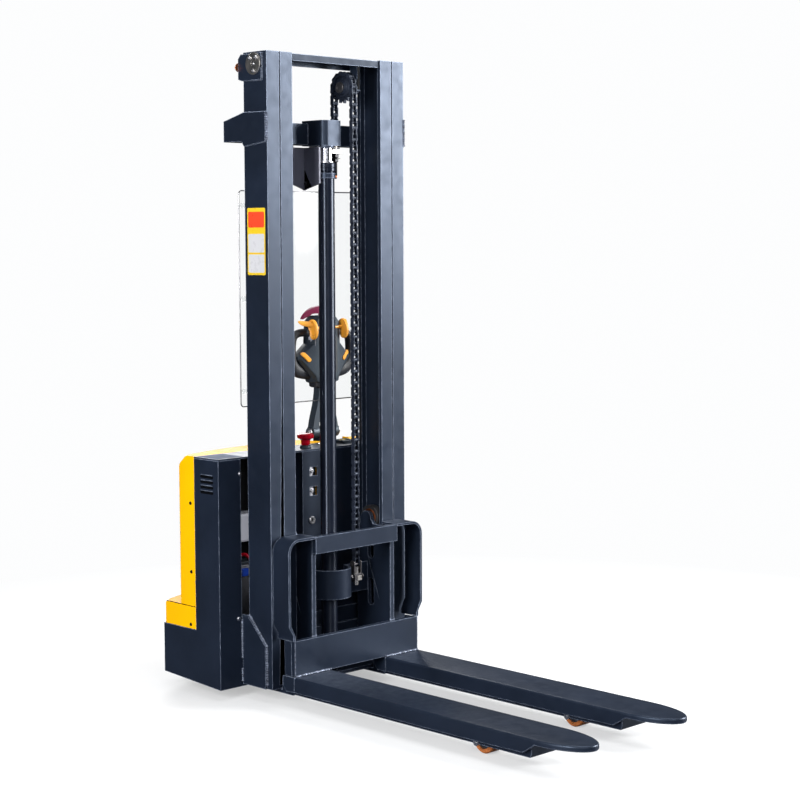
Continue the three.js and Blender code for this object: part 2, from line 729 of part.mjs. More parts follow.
// ---- equipment inside the body ----
function battery(parent, name, x) {
  const terminal = (dx) => cylinder("z", 8, 423, 436, [x + dx, 220], 16);
  const body = join(box([x - 86, x + 86], [195, 345], [219, 424]), terminal(-60), terminal(60));
  piece(parent, name, body, GREY);
}

function equipment(parent) {
  battery(parent, "battery_left", -208);
  battery(parent, "battery_right", -26);
  const power = join(
    box([130, 380], [156, 250], [219, 330]),
    cylinder("z", 42, 329, 500, [200, 204], 24),
    box([170, 230], [174, 234], [499, 540]),
  );
  piece(parent, "pump_unit", power, BLACK);
  piece(parent, "motor_controller", box([-296, -120], [196, 250], [500, 592]), GREY);
  piece(parent, "battery_connector", box([-300, -240], [158, 190], [392, 424]), LABEL);
  const path = new THREE.CatmullRomCurve3([
    new THREE.Vector3(127, 204, 290),
    new THREE.Vector3(109, 203, 286),
    new THREE.Vector3(HOSE_DOWN.x, HOSE_DOWN.y, BASE_TOP - 4),
    new THREE.Vector3(95, 182, 140),
    new THREE.Vector3(HOSE_OUT.x, BODY_FRONT_Y + 3, HOSE_OUT.z),
    new THREE.Vector3(84, 100, 104),
    new THREE.Vector3(PORT.x + 24, MAST_MID_Y + 1, PORT.z - 2),
    new THREE.Vector3(PORT.x + 3, MAST_MID_Y, PORT.z),
  ]);
  const hose = new THREE.Shape().absarc(0, 0, HOSE_R, 0, 2 * Math.PI, false);
  const geometry = new THREE.ExtrudeGeometry(hose, { steps: 32, extrudePath: path, curveSegments: 5 });
  piece(parent, "hydraulic_hose", solid(geometry), RUBBER);
}

// ---- controls on the deck ----
function deckControls(parent) {
  const stop = join(
    cylinder("z", 12, 760, 822, [STOP_X, STOP_Y], 24),
    cylinder("z", 26, 820, 842, [STOP_X, STOP_Y]),
  );
  piece(parent, "emergency_stop", stop, RED);
  const lock = tube("z", 12, 4.2, 765, 796, [KEY_X, KEY_Y]);
  piece(parent, "key_switch", lock, STEEL);
  const key = join(
    cylinder("z", 3.6, 768, 806, [KEY_X, KEY_Y], 16),
    box([KEY_X - 2, KEY_X + 2], [KEY_Y - 11, KEY_Y + 11], [802, 830]),
  );
  piece(parent, "ignition_key", key, STEEL);
  piece(parent, "battery_gauge", box([185, 245], [180, 240], [790.2, 800]), BLACK);
}

function guardScreen(parent) {
  const corner = 40;
  const [half, low, high] = [284, 950, 1648];
  const outline = new THREE.Shape();
  outline.absarc(half - corner, low + corner, corner, -Math.PI / 2, 0, false);
  outline.absarc(half - corner, high - corner, corner, 0, Math.PI / 2, false);
  outline.absarc(corner - half, high - corner, corner, Math.PI / 2, Math.PI, false);
  outline.absarc(corner - half, low + corner, corner, Math.PI, 1.5 * Math.PI, false);
  const studs = [1000, 1300, 1600].flatMap((z) => [
    cylinder("y", 6, MAST_DEPTH + 0.2, 161, [270, z], 12),
    cylinder("y", 6, MAST_DEPTH + 0.2, 161, [-270, z], 12),
  ]);
  piece(parent, "guard_screen", join(prism("xz", outline, 160, 164), studs), CLEAR);
}

// ---- drive unit and caster ----
function driveUnit(parent) {
  const { r, width } = DRIVE_WHEEL;
  const cheek = [width / 2 + 4, width / 2 + 40];
  const body = join(
    box(cheek, [-50, 50], [60, 208]),
    box([-34, cheek[1]], [-50, 50], [203, 208]),
    cylinder("z", 55, 207, 222, [0, 0]),
    cylinder("z", 72, BASE_TOP + 0.7, 240, [0, 0]),
    cylinder("z", 68, 239, 520, [0, 0]),
    cylinder("z", 34, 519, 772, [0, 0]),
    box([-29, 29], [-20, 20], [760, TILLER_PIVOT_Z]),
    cylinder("x", 20, -29, 29, [0, TILLER_PIVOT_Z]),
    cylinder("x", 9, -66, 66, [0, TILLER_PIVOT_Z]),
    cylinder("x", 16, -width / 2 + 6, cheek[0] + 2, [0, r]),
  );
  piece(parent, "drive_unit", body, BLACK);
  const hub = boreRadius(16);
  const wheel = tube("x", r, hub, -width / 2, width / 2, [0, 0]);
  piece(parent, "drive_wheel", wheel, TYRE).position.z = r;
}

function caster(parent) {
  const trail = 34;
  const arms = [
    [-30, 146],
    [30, 146],
    [trail + 14, CASTER_R],
    [trail, CASTER_R - 14],
    [trail - 14, CASTER_R],
  ];
  const body = join(
    prism("yz", arms, 27, 32),
    prism("yz", arms, -32, -27),
    box([-32, 32], [-30, 30], [142, 150]),
    cylinder("z", 30, 149, BASE_TOP - 8.6, [0, 0]),
    cylinder("z", 15, 200, BASE_TOP + 4, [0, 0]),
    cylinder("x", 6, -30, 30, [trail, CASTER_R], 16),
  );
  piece(parent, "caster_fork", body, STEEL);
  const wheel = tube("x", CASTER_R, boreRadius(6) + 0.1, -21, 21, [0, 0]);
  piece(parent, "caster_wheel", wheel, TYRE).position.set(0, trail, CASTER_R);
}

// ---- tiller: local origin on its fold pivot ----
const ARM_TOP = 162.6;
const ARM_HALF = 60; // half the arm's width at its pivot
const GRIP = { r: 14, y: 8, z: 350, end: 58, clearance: 0.8 };
const HEAD_Y = [-30, 34]; // front and rear faces of the head
const HEAD_SIDE = 62; // half-width of the head's upper part
const THUMB = { x: 92, z: 267, r: 12 };
const HORN = { z: 320, r: 10 };
const THROTTLE = { y: -26, z: 368, r: 23 };

// A flared blade whose two cheeks straddle the steering column's lug.
function tillerArm(parent) {
  const blade = new THREE.Shape();
  blade.moveTo(-ARM_HALF, 0);
  blade.bezierCurveTo(-56, 60, -32, 84, -28, ARM_TOP);
  blade.lineTo(28, ARM_TOP);
  blade.bezierCurveTo(32, 84, 56, 60, ARM_HALF, 0);
  const body = cut(
    join(prism("xz", blade, -15, 15), cylinder("x", 22, -ARM_HALF, ARM_HALF, [0, 0])),
    box([-30, 30], [-40, 40], [-30, 34]),
    cylinder("x", boreRadius(9), -70, 70, [0, 0]),
  );
  piece(parent, "tiller_arm", body, BLACK);
}

// The bow from one end inside the head, round both hands, to the other end.
function gripLoop(r, end) {
  const half = [
    [-end, GRIP.z],
    [-104, GRIP.z],
    [-130, GRIP.z - 18],
    [-135, 280],
    [-124, 230],
    [-80, 213],
  ];
  const outline = [...half, [0, 209], ...half.map(([x, z]) => [-x, z]).reverse()];
  const path = new THREE.CurvePath();
  const places = outline.map(([x, z]) => new THREE.Vector3(x, GRIP.y, z));
  path.add(new THREE.CatmullRomCurve3(places, false, "centripetal"));
  const section = new THREE.Shape().absarc(0, 0, r, 0, 2 * Math.PI, false);
  return solid(new THREE.ExtrudeGeometry(section, { steps: 36, extrudePath: path, curveSegments: 5 }));
}

// The faceted head between the grips, with the slot that the throttle's bar lies in.
function tillerHead(parent) {
  const [front, rear] = HEAD_Y;
  const half = [
    [58, ARM_TOP + 0.4],
    [64, 193],
    [122, 266],
    [HEAD_SIDE + 4, 312],
    [HEAD_SIDE, 392],
    [40, 411],
  ];
  const outline = [...half, ...half.map(([x, z]) => [-x, z]).reverse()];
  const slope = [
    [60, front - 1],
    [126, front - 1],
    [126, -4],
  ];
  const mirrored = slope.map(([x, y]) => [-x, y]);
  const body = cut(
    prism("xz", outline, front, rear),
    [slope, mirrored].map((facet) => prism("xy", facet, 190, 330)),
    gripLoop(GRIP.r + GRIP.clearance, GRIP.end - 2),
    box([-90, 90], [front - 1, -17], [THROTTLE.z - 10, THROTTLE.z + 10]),
    cylinder("z", 10.5, 380, 420, [0, 6], 24),
    [-THUMB.x, THUMB.x].map((x) => cylinder("y", THUMB.r + 0.4, front - 1, -6, [x, THUMB.z], 24)),
    cylinder("y", HORN.r + 0.4, rear - 14, rear + 1, [0, HORN.z], 24),
  );
  piece(parent, "tiller_head", body, BLACK);
  piece(parent, "tiller_grip", gripLoop(GRIP.r, GRIP.end), RUBBER);

  const dome = new THREE.Shape();
  dome.moveTo(-74, 397);
  dome.lineTo(-44, 417);
  dome.lineTo(44, 417);
  dome.lineTo(74, 397);
  dome.bezierCurveTo(66, 424, 36, 443, 0, 443);
  dome.bezierCurveTo(-36, 443, -66, 424, -74, 397);
  const stem = cylinder("z", 10, 386, 418, [0, 6], 24);
  piece(parent, "belly_button", join(prism("xz", dome, -12, 32), stem), RED);

  const throttle = group(parent, 0, THROTTLE.y, THROTTLE.z);
  const bar = cylinder("x", 7, -82, 82, [0, 0]);
  const paddles = boxes([78, 112], [18, 42], [11, 21]);
  const hubs = [[-80, -66.5], [66.5, 80]].map((x) => cylinder("x", THROTTLE.r, ...x, [0, 0]));
  piece(throttle, "throttle", join(bar, paddles, hubs), YELLOW);

  const thumb = (name, x) => {
    piece(parent, name, cylinder("y", THUMB.r, -25, -9.5, [x, THUMB.z], 24), YELLOW);
  };
  thumb("lift_button", -THUMB.x);
  thumb("lower_button", THUMB.x);
  piece(parent, "horn_button", cylinder("y", HORN.r, rear - 10.5, rear + 4, [0, HORN.z], 24), RED);
}

// ---- assembly ----
const machine = new THREE.Group();
machine.position.y = -(BODY_REAR_Y + FORK_TIP_Y) / 2;
const fixed = group(machine);
const stage2 = group(machine);
const load = group(machine);

outerMast(fixed);
innerMast(stage2);
liftCylinder(fixed, stage2);
chain(fixed, stage2);
sprocket(stage2);
carriage(load);
sideGuard(load, "side_guard_left", -1);
sideGuard(load, "side_guard_right", 1);
fork(load, "fork_left", -FORK_MID_X);
fork(load, "fork_right", FORK_MID_X);
rollers(machine);
supportLeg(fixed, "left", -FORK_MID_X);
supportLeg(fixed, "right", FORK_MID_X);
chassis(fixed);
covers(fixed);
equipment(fixed);
deckControls(fixed);
guardScreen(fixed);

driveUnit(group(machine, STEER_X, STEER_Y));
caster(group(machine, -STEER_X, STEER_Y));
const tiller = group(machine, STEER_X, STEER_Y, TILLER_PIVOT_Z);
tillerArm(tiller);
tillerHead(tiller);

export default machine;
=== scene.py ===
import json
import math
import bmesh
import bpy
from mathutils import Matrix, Vector

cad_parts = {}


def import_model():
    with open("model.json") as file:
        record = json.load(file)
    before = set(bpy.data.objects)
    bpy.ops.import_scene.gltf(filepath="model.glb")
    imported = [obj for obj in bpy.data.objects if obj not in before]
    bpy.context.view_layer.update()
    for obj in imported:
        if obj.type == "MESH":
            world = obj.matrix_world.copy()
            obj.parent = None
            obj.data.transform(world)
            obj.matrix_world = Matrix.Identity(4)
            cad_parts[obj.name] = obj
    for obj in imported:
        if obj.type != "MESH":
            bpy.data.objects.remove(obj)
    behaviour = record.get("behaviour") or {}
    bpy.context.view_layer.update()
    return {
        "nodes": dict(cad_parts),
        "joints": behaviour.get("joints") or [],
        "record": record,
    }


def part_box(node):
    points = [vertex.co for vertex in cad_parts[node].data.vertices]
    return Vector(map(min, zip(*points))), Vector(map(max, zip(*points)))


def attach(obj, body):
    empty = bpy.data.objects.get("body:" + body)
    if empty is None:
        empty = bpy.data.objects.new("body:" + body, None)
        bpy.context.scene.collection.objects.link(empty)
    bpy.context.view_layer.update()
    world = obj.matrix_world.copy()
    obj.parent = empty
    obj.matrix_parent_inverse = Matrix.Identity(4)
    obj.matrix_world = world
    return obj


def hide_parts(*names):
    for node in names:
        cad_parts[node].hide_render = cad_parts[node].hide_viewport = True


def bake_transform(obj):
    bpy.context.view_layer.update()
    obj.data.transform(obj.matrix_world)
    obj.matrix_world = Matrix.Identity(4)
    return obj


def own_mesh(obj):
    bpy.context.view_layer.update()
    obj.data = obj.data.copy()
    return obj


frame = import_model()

# Looks of a walkie stacker, in metres: +Z up, forks towards -Y, left (-X) as seen from the front.
BOX = {name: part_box(name) for name in frame["nodes"]}
JOINT = {joint["name"]: joint for joint in frame["joints"]}
LIFT = JOINT["mast_lift"]["range_m"][1]
FRONT = BOX["outer_mast"][0].y  # front faces of both mast stages
SIDE = 0.3  # outer faces of the mast channels
BODY_SIDE = BOX["chassis_frame"][1].x
BODY_FRONT = BOX["chassis_frame"][0].y
DECK = BOX["top_deck"][1].z
CYLINDER_Y = FRONT + 0.056
PORT_Z = 0.118  # height of the cylinder's oil port
X, Y, Z = Vector((1, 0, 0)), Vector((0, 1, 0)), Vector((0, 0, 1))
SIDES = (("left", -1), ("right", 1))


def pivot(joint):
    return Vector(JOINT[joint]["pos_m"])


def low(node):
    return BOX[node][0]


def high(node):
    return BOX[node][1]


def middle(node):
    return (BOX[node][0] + BOX[node][1]) / 2


def at(x, y, z):
    """A place given from the mast's front face, on the machine's middle plane and the floor."""
    return Vector((x, FRONT + y, z))


# ---- materials ----
BUMP_DEPTH = 0.0004


class Nodes:
    """A material's node tree."""

    def __init__(self, name):
        self.material = bpy.data.materials.new(name)
        self.material.use_nodes = True
        self.tree = self.material.node_tree
        self.tree.nodes.clear()
        self.coord = self.add("ShaderNodeTexCoord").outputs["Object"]

    def add(self, kind, **settings):
        node = self.tree.nodes.new(kind)
        for key, value in settings.items():
            setattr(node, key, value)
        return node

    def node(self, kind, **inputs):
        """A new node with its inputs set or linked, named with _ for a space."""
        node = self.add(kind)
        for key, value in inputs.items():
            self.put(node.inputs[key.replace("_", " ")], value)
        return node

    def put(self, socket, value):
        if isinstance(value, bpy.types.NodeSocket):
            self.tree.links.new(value, socket)
        else:
            socket.default_value = value

    def noise(self, scale, detail=3.0):
        node = self.node("ShaderNodeTexNoise", Vector=self.coord, Scale=scale, Detail=detail)
        return node.outputs["Fac"]

    def remap(self, value, a, b, c, d):
        node = self.node("ShaderNodeMapRange", Value=value, From_Min=a, From_Max=b, To_Min=c, To_Max=d)
        return node.outputs[0]

    def math(self, operation, a, b):
        node = self.add("ShaderNodeMath", operation=operation)
        self.put(node.inputs[0], a)
        self.put(node.inputs[1], b)
        return node.outputs[0]

    def mix(self, share, a, b):
        node = self.add("ShaderNodeMix", data_type="RGBA")
        self.put(node.inputs["Factor"], share)
        self.put(node.inputs[6], a)
        self.put(node.inputs[7], b)
        return node.outputs[2]

    def edges(self, width):
        """1 on edges, where both wear and a painted highlight go; 0 on faces."""
        rounded = self.add("ShaderNodeBevel", samples=4)
        rounded.inputs["Radius"].default_value = width
        geometry = self.add("ShaderNodeNewGeometry")
        dot = self.add("ShaderNodeVectorMath", operation="DOT_PRODUCT")
        self.put(dot.inputs[0], rounded.outputs[0])
        self.put(dot.inputs[1], geometry.outputs["Normal"])
        edge = self.remap(dot.outputs["Value"], 0.99, 0.88, 0.0, 1.0)
        patchy = self.remap(self.noise(70), 0.4, 0.64, 0.45, 1.0)
        return self.math("MULTIPLY", edge, patchy)

    def bump(self, height, strength):
        return self.node("ShaderNodeBump", Strength=strength, Distance=BUMP_DEPTH, Height=height).outputs[0]

    def principled(self, **inputs):
        shader = self.node("ShaderNodeBsdfPrincipled", **inputs)
        self.node("ShaderNodeOutputMaterial", Surface=shader.outputs[0])
        return self.material


LOOK = {}  # each look's material and the record's material slot that it belongs to


def rgba(colour, factor=1.0):
    return tuple(min(1.0, c * factor) for c in colour) + (1.0,)


def surface(name, colour, rough=(0.35, 0.5), metal=0.0, grain=900, bump=0.06, cloud=5, shade=0.82, wear_and_highlight=None,
        wear_and_highlight_width=0.0012, coat=0.0, glint=(1, 1, 1), shine=0.5, slot=None):
    """A finish with cloudy colour, uneven gloss, a fine surface grain and, if asked, lighter edges that
    paint both wear and a highlight.
    """
    n = Nodes(name)
    tone = n.mix(n.remap(n.noise(cloud, 5), 0.35, 0.65, 0, 1), rgba(colour, shade), rgba(colour, 2 - shade))
    gloss = n.remap(n.noise(cloud * 7, 4), 0.3, 0.7, *rough)
    if wear_and_highlight:
        worn_and_lit = n.edges(wear_and_highlight_width)
        tone = n.mix(worn_and_lit, tone, rgba(wear_and_highlight))
        gloss = n.math("SUBTRACT", gloss, n.math("MULTIPLY", worn_and_lit, 0.12))
    normal = n.bump(n.noise(grain, 2), bump)
    material = n.principled(Base_Color=tone, Roughness=gloss, Metallic=metal, Normal=normal,
        Specular_Tint=rgba(glint), Specular_IOR_Level=shine, Coat_Weight=coat, Coat_Roughness=0.12)
    LOOK[name] = (material, slot or name)


# The frame paint's pale edge colour is a painted highlight for light caught by rounded edges, patchy like
# wear.
surface("frame_paint", (0.0075, 0.0115, 0.0215), (0.34, 0.46), grain=700, bump=0.1, wear_and_highlight=(0.3, 0.35, 0.46),
    wear_and_highlight_width=0.0036, glint=(0.6, 0.74, 1.0))
surface("hood_paint", (1.0, 0.5, 0.0), (0.42, 0.52), grain=600, bump=0.07, shade=0.97, wear_and_highlight=(1.0, 0.6, 0.05),
    glint=(1.0, 0.8, 0.4), shine=0.15)
surface("yellow_plastic", (0.86, 0.36, 0.03), (0.36, 0.5), grain=1500, bump=0.1, shade=0.93)
surface("chrome", (0.5, 0.51, 0.56), (0.18, 0.26), 1.0, grain=1500, bump=0.02, shade=0.97)
surface("bright_steel", (0.5, 0.47, 0.43), (0.22, 0.38), 1.0, grain=800, bump=0.12, shade=0.85)
surface("chain_steel", (0.01, 0.013, 0.022), (0.42, 0.58), grain=900, bump=0.15, cloud=40, shade=0.6,
    glint=(0.7, 0.8, 1.0), shine=0.4)
surface("roller_steel", (0.12, 0.115, 0.12), (0.3, 0.5), 0.9, grain=700, bump=0.12, shade=0.8)
surface("black_enamel", (0.006, 0.008, 0.015), (0.2, 0.27), grain=500, bump=0.05, glint=(0.7, 0.8, 1.0),
    shine=0.32)
surface("dark_plastic", (0.013, 0.018, 0.026), (0.42, 0.55), grain=2200, bump=0.22, shade=0.88,
    wear_and_highlight=(0.05, 0.065, 0.085), wear_and_highlight_width=0.001, glint=(0.75, 0.88, 1.0))
surface("rubber", (0.007, 0.008, 0.012), (0.4, 0.58), grain=1500, bump=0.25, shade=0.85)
surface("red_plastic", (0.42, 0.0, 0.012), (0.22, 0.32), grain=900, bump=0.05, shade=0.9,
    glint=(1.0, 0.35, 0.4), shine=0.4)
surface("battery_case", (0.012, 0.014, 0.022), (0.45, 0.6), grain=1200, bump=0.2)
surface("light_plastic", (0.3, 0.31, 0.36), (0.4, 0.55), grain=900, bump=0.12, shade=0.94)
surface("polyurethane", (0.42, 0.13, 0.035), (0.32, 0.5), grain=500, bump=0.18, cloud=30, shade=0.75)
# Weld beads carry the frame paint; their much lighter colour is a painted highlight for glints on the bead
# ripples.
surface("lit_weld_bead", (0.13, 0.15, 0.2), (0.2, 0.34), 0.45, grain=350, bump=0.5, cloud=90, shade=0.45,
    slot="frame_paint")
surface("zinc", (0.55, 0.55, 0.57), (0.22, 0.36), 1.0, grain=900, bump=0.1, cloud=40, shade=0.85,
    slot="bright_steel")
surface("black_screw", (0.02, 0.02, 0.022), (0.25, 0.4), 0.8, grain=900, bump=0.1, cloud=60,
    slot="black_enamel")
surface("blue_plastic", (0.015, 0.06, 0.42), (0.3, 0.45), grain=900, bump=0.1, slot="dark_plastic")
for label, colour, shade in (("blank_label", (0.56, 0.56, 0.58), 0.97),
        ("red_label", (0.72, 0.06, 0.02), 0.95), ("yellow_label", (0.74, 0.5, 0.02), 0.97)):
    surface(label, colour, (0.25, 0.35), grain=300, bump=0.02, shade=shade, slot="light_plastic")
surface("deck_sheet", (0.1, 0.125, 0.19), (0.6, 0.72), grain=700, bump=0.1, glint=(0.7, 0.82, 1.0),
    shine=0.1, slot="light_plastic")
surface("crimson", (0.15, 0.006, 0.04), (0.45, 0.58), grain=900, bump=0.08, shade=0.9, shine=0.3,
    slot="red_plastic")
# A lighter grey copy of the frame paint: painted light on the cylinder bracket's front, which lies in the
# mast's shade here.
surface("lit_bracket_paint", (0.105, 0.108, 0.145), (0.38, 0.52), 0.2, grain=700, bump=0.12, shade=0.8,
    slot="frame_paint")
# A darker, duller copy of the frame paint for the top bar's front face; its darker colour is painted shade.
surface("shaded_dull_paint", (0.006, 0.009, 0.016), (0.42, 0.52), grain=700, bump=0.1, wear_and_highlight=(0.1, 0.12, 0.17),
    wear_and_highlight_width=0.0015, glint=(0.6, 0.74, 1.0), shine=0.25, slot="frame_paint")
surface("shadow", (0.0015, 0.002, 0.003), (0.6, 0.7), grain=700, bump=0.1, shine=0.05, slot="frame_paint")
surface("copper", (0.62, 0.2, 0.08), (0.25, 0.4), 1.0, grain=900, bump=0.1, cloud=60, slot="bright_steel")
surface("gauge_glass", (0.03, 0.05, 0.045), (0.04, 0.08), grain=100, bump=0.0, coat=0.6, slot="clear_screen")
surface("rim_steel", (0.22, 0.22, 0.23), (0.3, 0.45), 0.9, grain=500, bump=0.12, cloud=30,
    slot="roller_steel")


def clear_sheet(name, tint, shine):
    """A clear sheet that is seen by its reflections."""
    n = Nodes(name)
    body = n.node("ShaderNodeBsdfTransparent", Color=tint)
    gloss = n.add("ShaderNodeBsdfGlossy")
    n.put(gloss.inputs["Roughness"], n.remap(n.noise(12), 0.3, 0.7, 0.03, 0.1))
    n.put(gloss.inputs["Normal"], n.bump(n.noise(3), 0.02))
    fresnel = n.node("ShaderNodeFresnel", IOR=1.35)
    mixed = n.add("ShaderNodeMixShader")
    n.put(mixed.inputs[0], n.math("MULTIPLY", fresnel.outputs[0], shine))
    n.put(mixed.inputs[1], body.outputs[0])
    n.put(mixed.inputs[2], gloss.outputs[0])
    n.node("ShaderNodeOutputMaterial", Surface=mixed.outputs[0])
    LOOK[name] = (n.material, name)


clear_sheet("clear_screen", (0.985, 0.99, 0.99, 1), 0.35)


# ---- mesh code ----
SHARP_ANGLE = 35  # degrees between faces that keep a hard edge


def soften(obj, width, segments=2, angle=32):
    """Rounded edges."""
    bevel = obj.modifiers.new("edges", "BEVEL")
    bevel.width = width
    bevel.segments = segments
    bevel.limit_method = "ANGLE"
    bevel.angle_limit = math.radians(angle)
    bevel.harden_normals = True


class Part:
    """Collects the faces of a piece and makes it; then it can collect the next one."""

    def __init__(self):
        self.bm = bmesh.new()

    def loft(self, rings, closed=False, first_cap=True):
        rows = [[self.bm.verts.new(p) for p in ring] for ring in rings]
        pairs = list(zip(rows, rows[1:]))
        if closed:
            pairs.append((rows[-1], rows[0]))
        else:
            if first_cap:
                self.bm.faces.new(rows[0][::-1])
            self.bm.faces.new(rows[-1])
        for a, b in pairs:
            for i in range(len(a)):
                j = (i + 1) % len(a)
                self.bm.faces.new((a[i], a[j], b[j], b[i]))
        return rows

    def turn(self, profile, place, axis=Z, sides=32, closed=False):
        """A turned shape; the profile holds radius and distance along the axis."""
        quat = Vector(axis).to_track_quat("Z", "Y")
        self.loft([[place + quat @ Vector((r * math.cos(a), r * math.sin(a), along)) for a in circle(sides)]
            for r, along in profile], closed)

    def prism(self, outline, axis, start, end):
        places = {"x": lambda u, v, w: (w, u, v), "y": lambda u, v, w: (u, w, v), "z": lambda u, v,
            w: (u, v, w)}
        self.loft([[places[axis](u, v, w) for u, v in outline] for w in (start, end)])

    def block(self, a, b):
        self.prism([(a[0], a[1]), (b[0], a[1]), (b[0], b[1]), (a[0], b[1])], "z", a[2], b[2])

    def rod(self, path, radius, sides=12, closed=False):
        """A round bar along a path; the radius may be a function of the point's number."""
        count = len(path)
        normal = None
        rings = []
        for i, p in enumerate(path):
            before = path[i - 1] if closed or i else path[i]
            after = path[(i + 1) % count] if closed or i < count - 1 else path[i]
            tangent = (after - before).normalized()
            normal = tangent.orthogonal() if normal is None else normal - tangent * normal.dot(tangent)
            normal.normalize()
            side = tangent.cross(normal)
            r = radius(i) if callable(radius) else radius
            rings.append([p + (normal * math.cos(a) + side * math.sin(a)) * r for a in circle(sides)])
        self.loft(rings, closed)

    def bead(self, points, radius=0.0034):
        """A weld bead: a bar with ripples."""
        path = resample([Vector(p) for p in points], 0.0021)
        self.rod(path, lambda i: radius * (0.84 + 0.17 * math.sin(i * 1.7) + 0.08 * math.sin(i * 0.61 + 1)),
            8)

    def bolt(self, place, axis, across, height):
        """A hexagon head on a washer."""
        washer = [(across * 0.86, 0), (across * 0.86, 0.0012), (across * 0.4, 0.0012)]
        self.turn(washer, place, axis, 24)
        quat = Vector(axis).to_track_quat("Z", "Y")
        rings = []
        for share, along in ((1, 0.0011), (1, height * 0.85), (0.86, height)):
            corner = across / math.sqrt(3) * share
            rings.append([place + quat @ Vector((corner * math.cos(k * math.pi / 3),
                corner * math.sin(k * math.pi / 3), along)) for k in range(6)])
        self.loft(rings)

    def bolt_pair(self, centre, reach, across, height):
        """A bolt at each side of a centre, facing outwards."""
        for sign in (-1, 1):
            self.bolt(centre + X * sign * reach, X * sign, across, height)

    def screw(self, place, axis, r=0.005, height=0.0028):
        """A domed head with a socket."""
        self.turn([(r, 0), (r, height * 0.3), (r * 0.86, height * 0.75), (r * 0.55, height),
            (r * 0.45, height), (r * 0.42, height * 0.2)], place, axis, 20)

    def shape(self, name):
        """The collected faces as an object; the part is empty again afterwards."""
        bmesh.ops.recalc_face_normals(self.bm, faces=self.bm.faces)
        mesh = bpy.data.meshes.new(name)
        self.bm.to_mesh(mesh)
        self.bm.clear()
        obj = bpy.data.objects.new(name, mesh)
        bpy.context.scene.collection.objects.link(obj)
        return obj

    def done(self, name, look, body="chassis", slot=None, bevel=0.0, segments=2, replaces=None):
        obj = self.shape(name)
        shade_smooth(obj.data)
        if bevel:
            soften(obj, bevel, segments)
        else:
            obj.data.set_sharp_from_angle(angle=math.radians(SHARP_ANGLE))
        dress(obj, look, body, replaces)
        return obj


def circle(count):
    """Evenly spaced angles round a circle."""
    return [2 * math.pi * i / count for i in range(count)]


def shade_smooth(mesh):
    mesh.polygons.foreach_set("use_smooth", [True] * len(mesh.polygons))


def dress(obj, look, body, replaces):
    """Gives a piece its material and its body, and hides the CAD node it replaces."""
    material, own_slot = LOOK[look]
    obj.data.materials.clear()
    obj.data.materials.append(material)
    if body:
        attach(obj, body)
    if replaces:
        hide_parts(replaces)


def resample(points, step):
    """Evenly spaced points on a polyline."""
    out = [points[0].copy()]
    for a, b in zip(points, points[1:]):
        count = max(1, round((b - a).length / step))
        out += [a.lerp(b, (i + 1) / count) for i in range(count)]
    return out


def smooth(points, steps):
    """Points on a curve through the given ones."""
    points = [Vector(p) for p in points]
    last = len(points) - 1
    out = []
    for i in range(last):
        a, b, c, d = (points[min(max(i + k, 0), last)] for k in (-1, 0, 1, 2))
        bend = 2 * a - 5 * b + 4 * c - d
        twist = 3 * b - a - 3 * c + d
        for s in range(steps):
            t = s / steps
            out.append(0.5 * (2 * b + (c - a) * t + bend * t * t + twist * t ** 3))
    out.append(points[-1])
    return out


def arc(cx, cy, r, start, end, steps):
    """Points on a circle between two angles in degrees."""
    turns = [math.radians(start + (end - start) * i / steps) for i in range(steps + 1)]
    return [(cx + r * math.cos(a), cy + r * math.sin(a)) for a in turns]


def rounded(x0, x1, y0, y1, r, steps=5):
    """A rectangle with round corners."""
    return (arc(x1 - r, y0 + r, r, -90, 0, steps) + arc(x1 - r, y1 - r, r, 0, 90, steps) + arc(x0 + r,
        y1 - r, r, 90, 180, steps) + arc(x0 + r, y0 + r, r, 180, 270, steps))


def mirrored(profile):
    """A turned profile from one end to the middle, and on to the other end."""
    return profile + [(r, -along) for r, along in reversed(profile)]


def footprint(node, shrink, r):
    """A CAD node's outline in plan, drawn in, with round corners."""
    a, b = BOX[node]
    return rounded(a.x + shrink, b.x - shrink, a.y + shrink, b.y - shrink, r)


def inset(outline, distance):
    """A smooth outline, moved inwards (counter-clockwise outlines)."""
    count = len(outline)
    out = []
    for i, (x, y) in enumerate(outline):
        ax, ay = outline[i - 1]
        bx, by = outline[(i + 1) % count]
        one = Vector((x - ax, y - ay)).normalized()
        two = Vector((bx - x, by - y)).normalized()
        mean = one + two
        normal = Vector((-mean.y, mean.x)).normalized()
        spread = max(0.35, normal.dot(Vector((-one.y, one.x))))
        out.append((x + normal.x * distance / spread, y + normal.y * distance / spread))
    return out


# ---- CAD nodes that are shown as they are ----
WELD_GAP = 0.00001
EDGE = {  # rounding of the edges, and its segments
    "outer_mast": (0.0032, 3), "inner_mast": (0.0026, 3), "chassis_frame": (0.0022, 3),
    "top_deck": (0.002, 2), "support_leg_left": (0.0022, 2), "support_leg_right": (0.0022, 2),
    "cylinder_bracket": (0.0012, 2), "carriage_frame": (0.0018, 2),
    "side_guard_left": (0.0016, 2), "side_guard_right": (0.0016, 2),
}
# The cylinder bracket gets a lighter grey look: painted light for a plate that lies in the mast's shade
# here.
PAINTED_LIGHT_LOOK = {"cylinder_bracket": "lit_bracket_paint"}  # nodes that look unlike their material slot


def dress_cad_nodes():
    slots = {part["node"]: part["material_slot"] for part in frame["record"]["subparts"]}
    for name, node in frame["nodes"].items():
        mesh = node.data
        custom = mesh.attributes.get("custom_normal")
        if custom:
            mesh.attributes.remove(custom)
        shade_smooth(mesh)
        weld = node.modifiers.new("weld", "WELD")
        weld.merge_threshold = WELD_GAP
        soften(node, *EDGE.get(name, (0.0008, 2)))
        node.material_slots[0].link = "OBJECT"
        node.material_slots[0].material = LOOK[PAINTED_LIGHT_LOOK.get(name, slots[name])][0]


dress_cad_nodes()


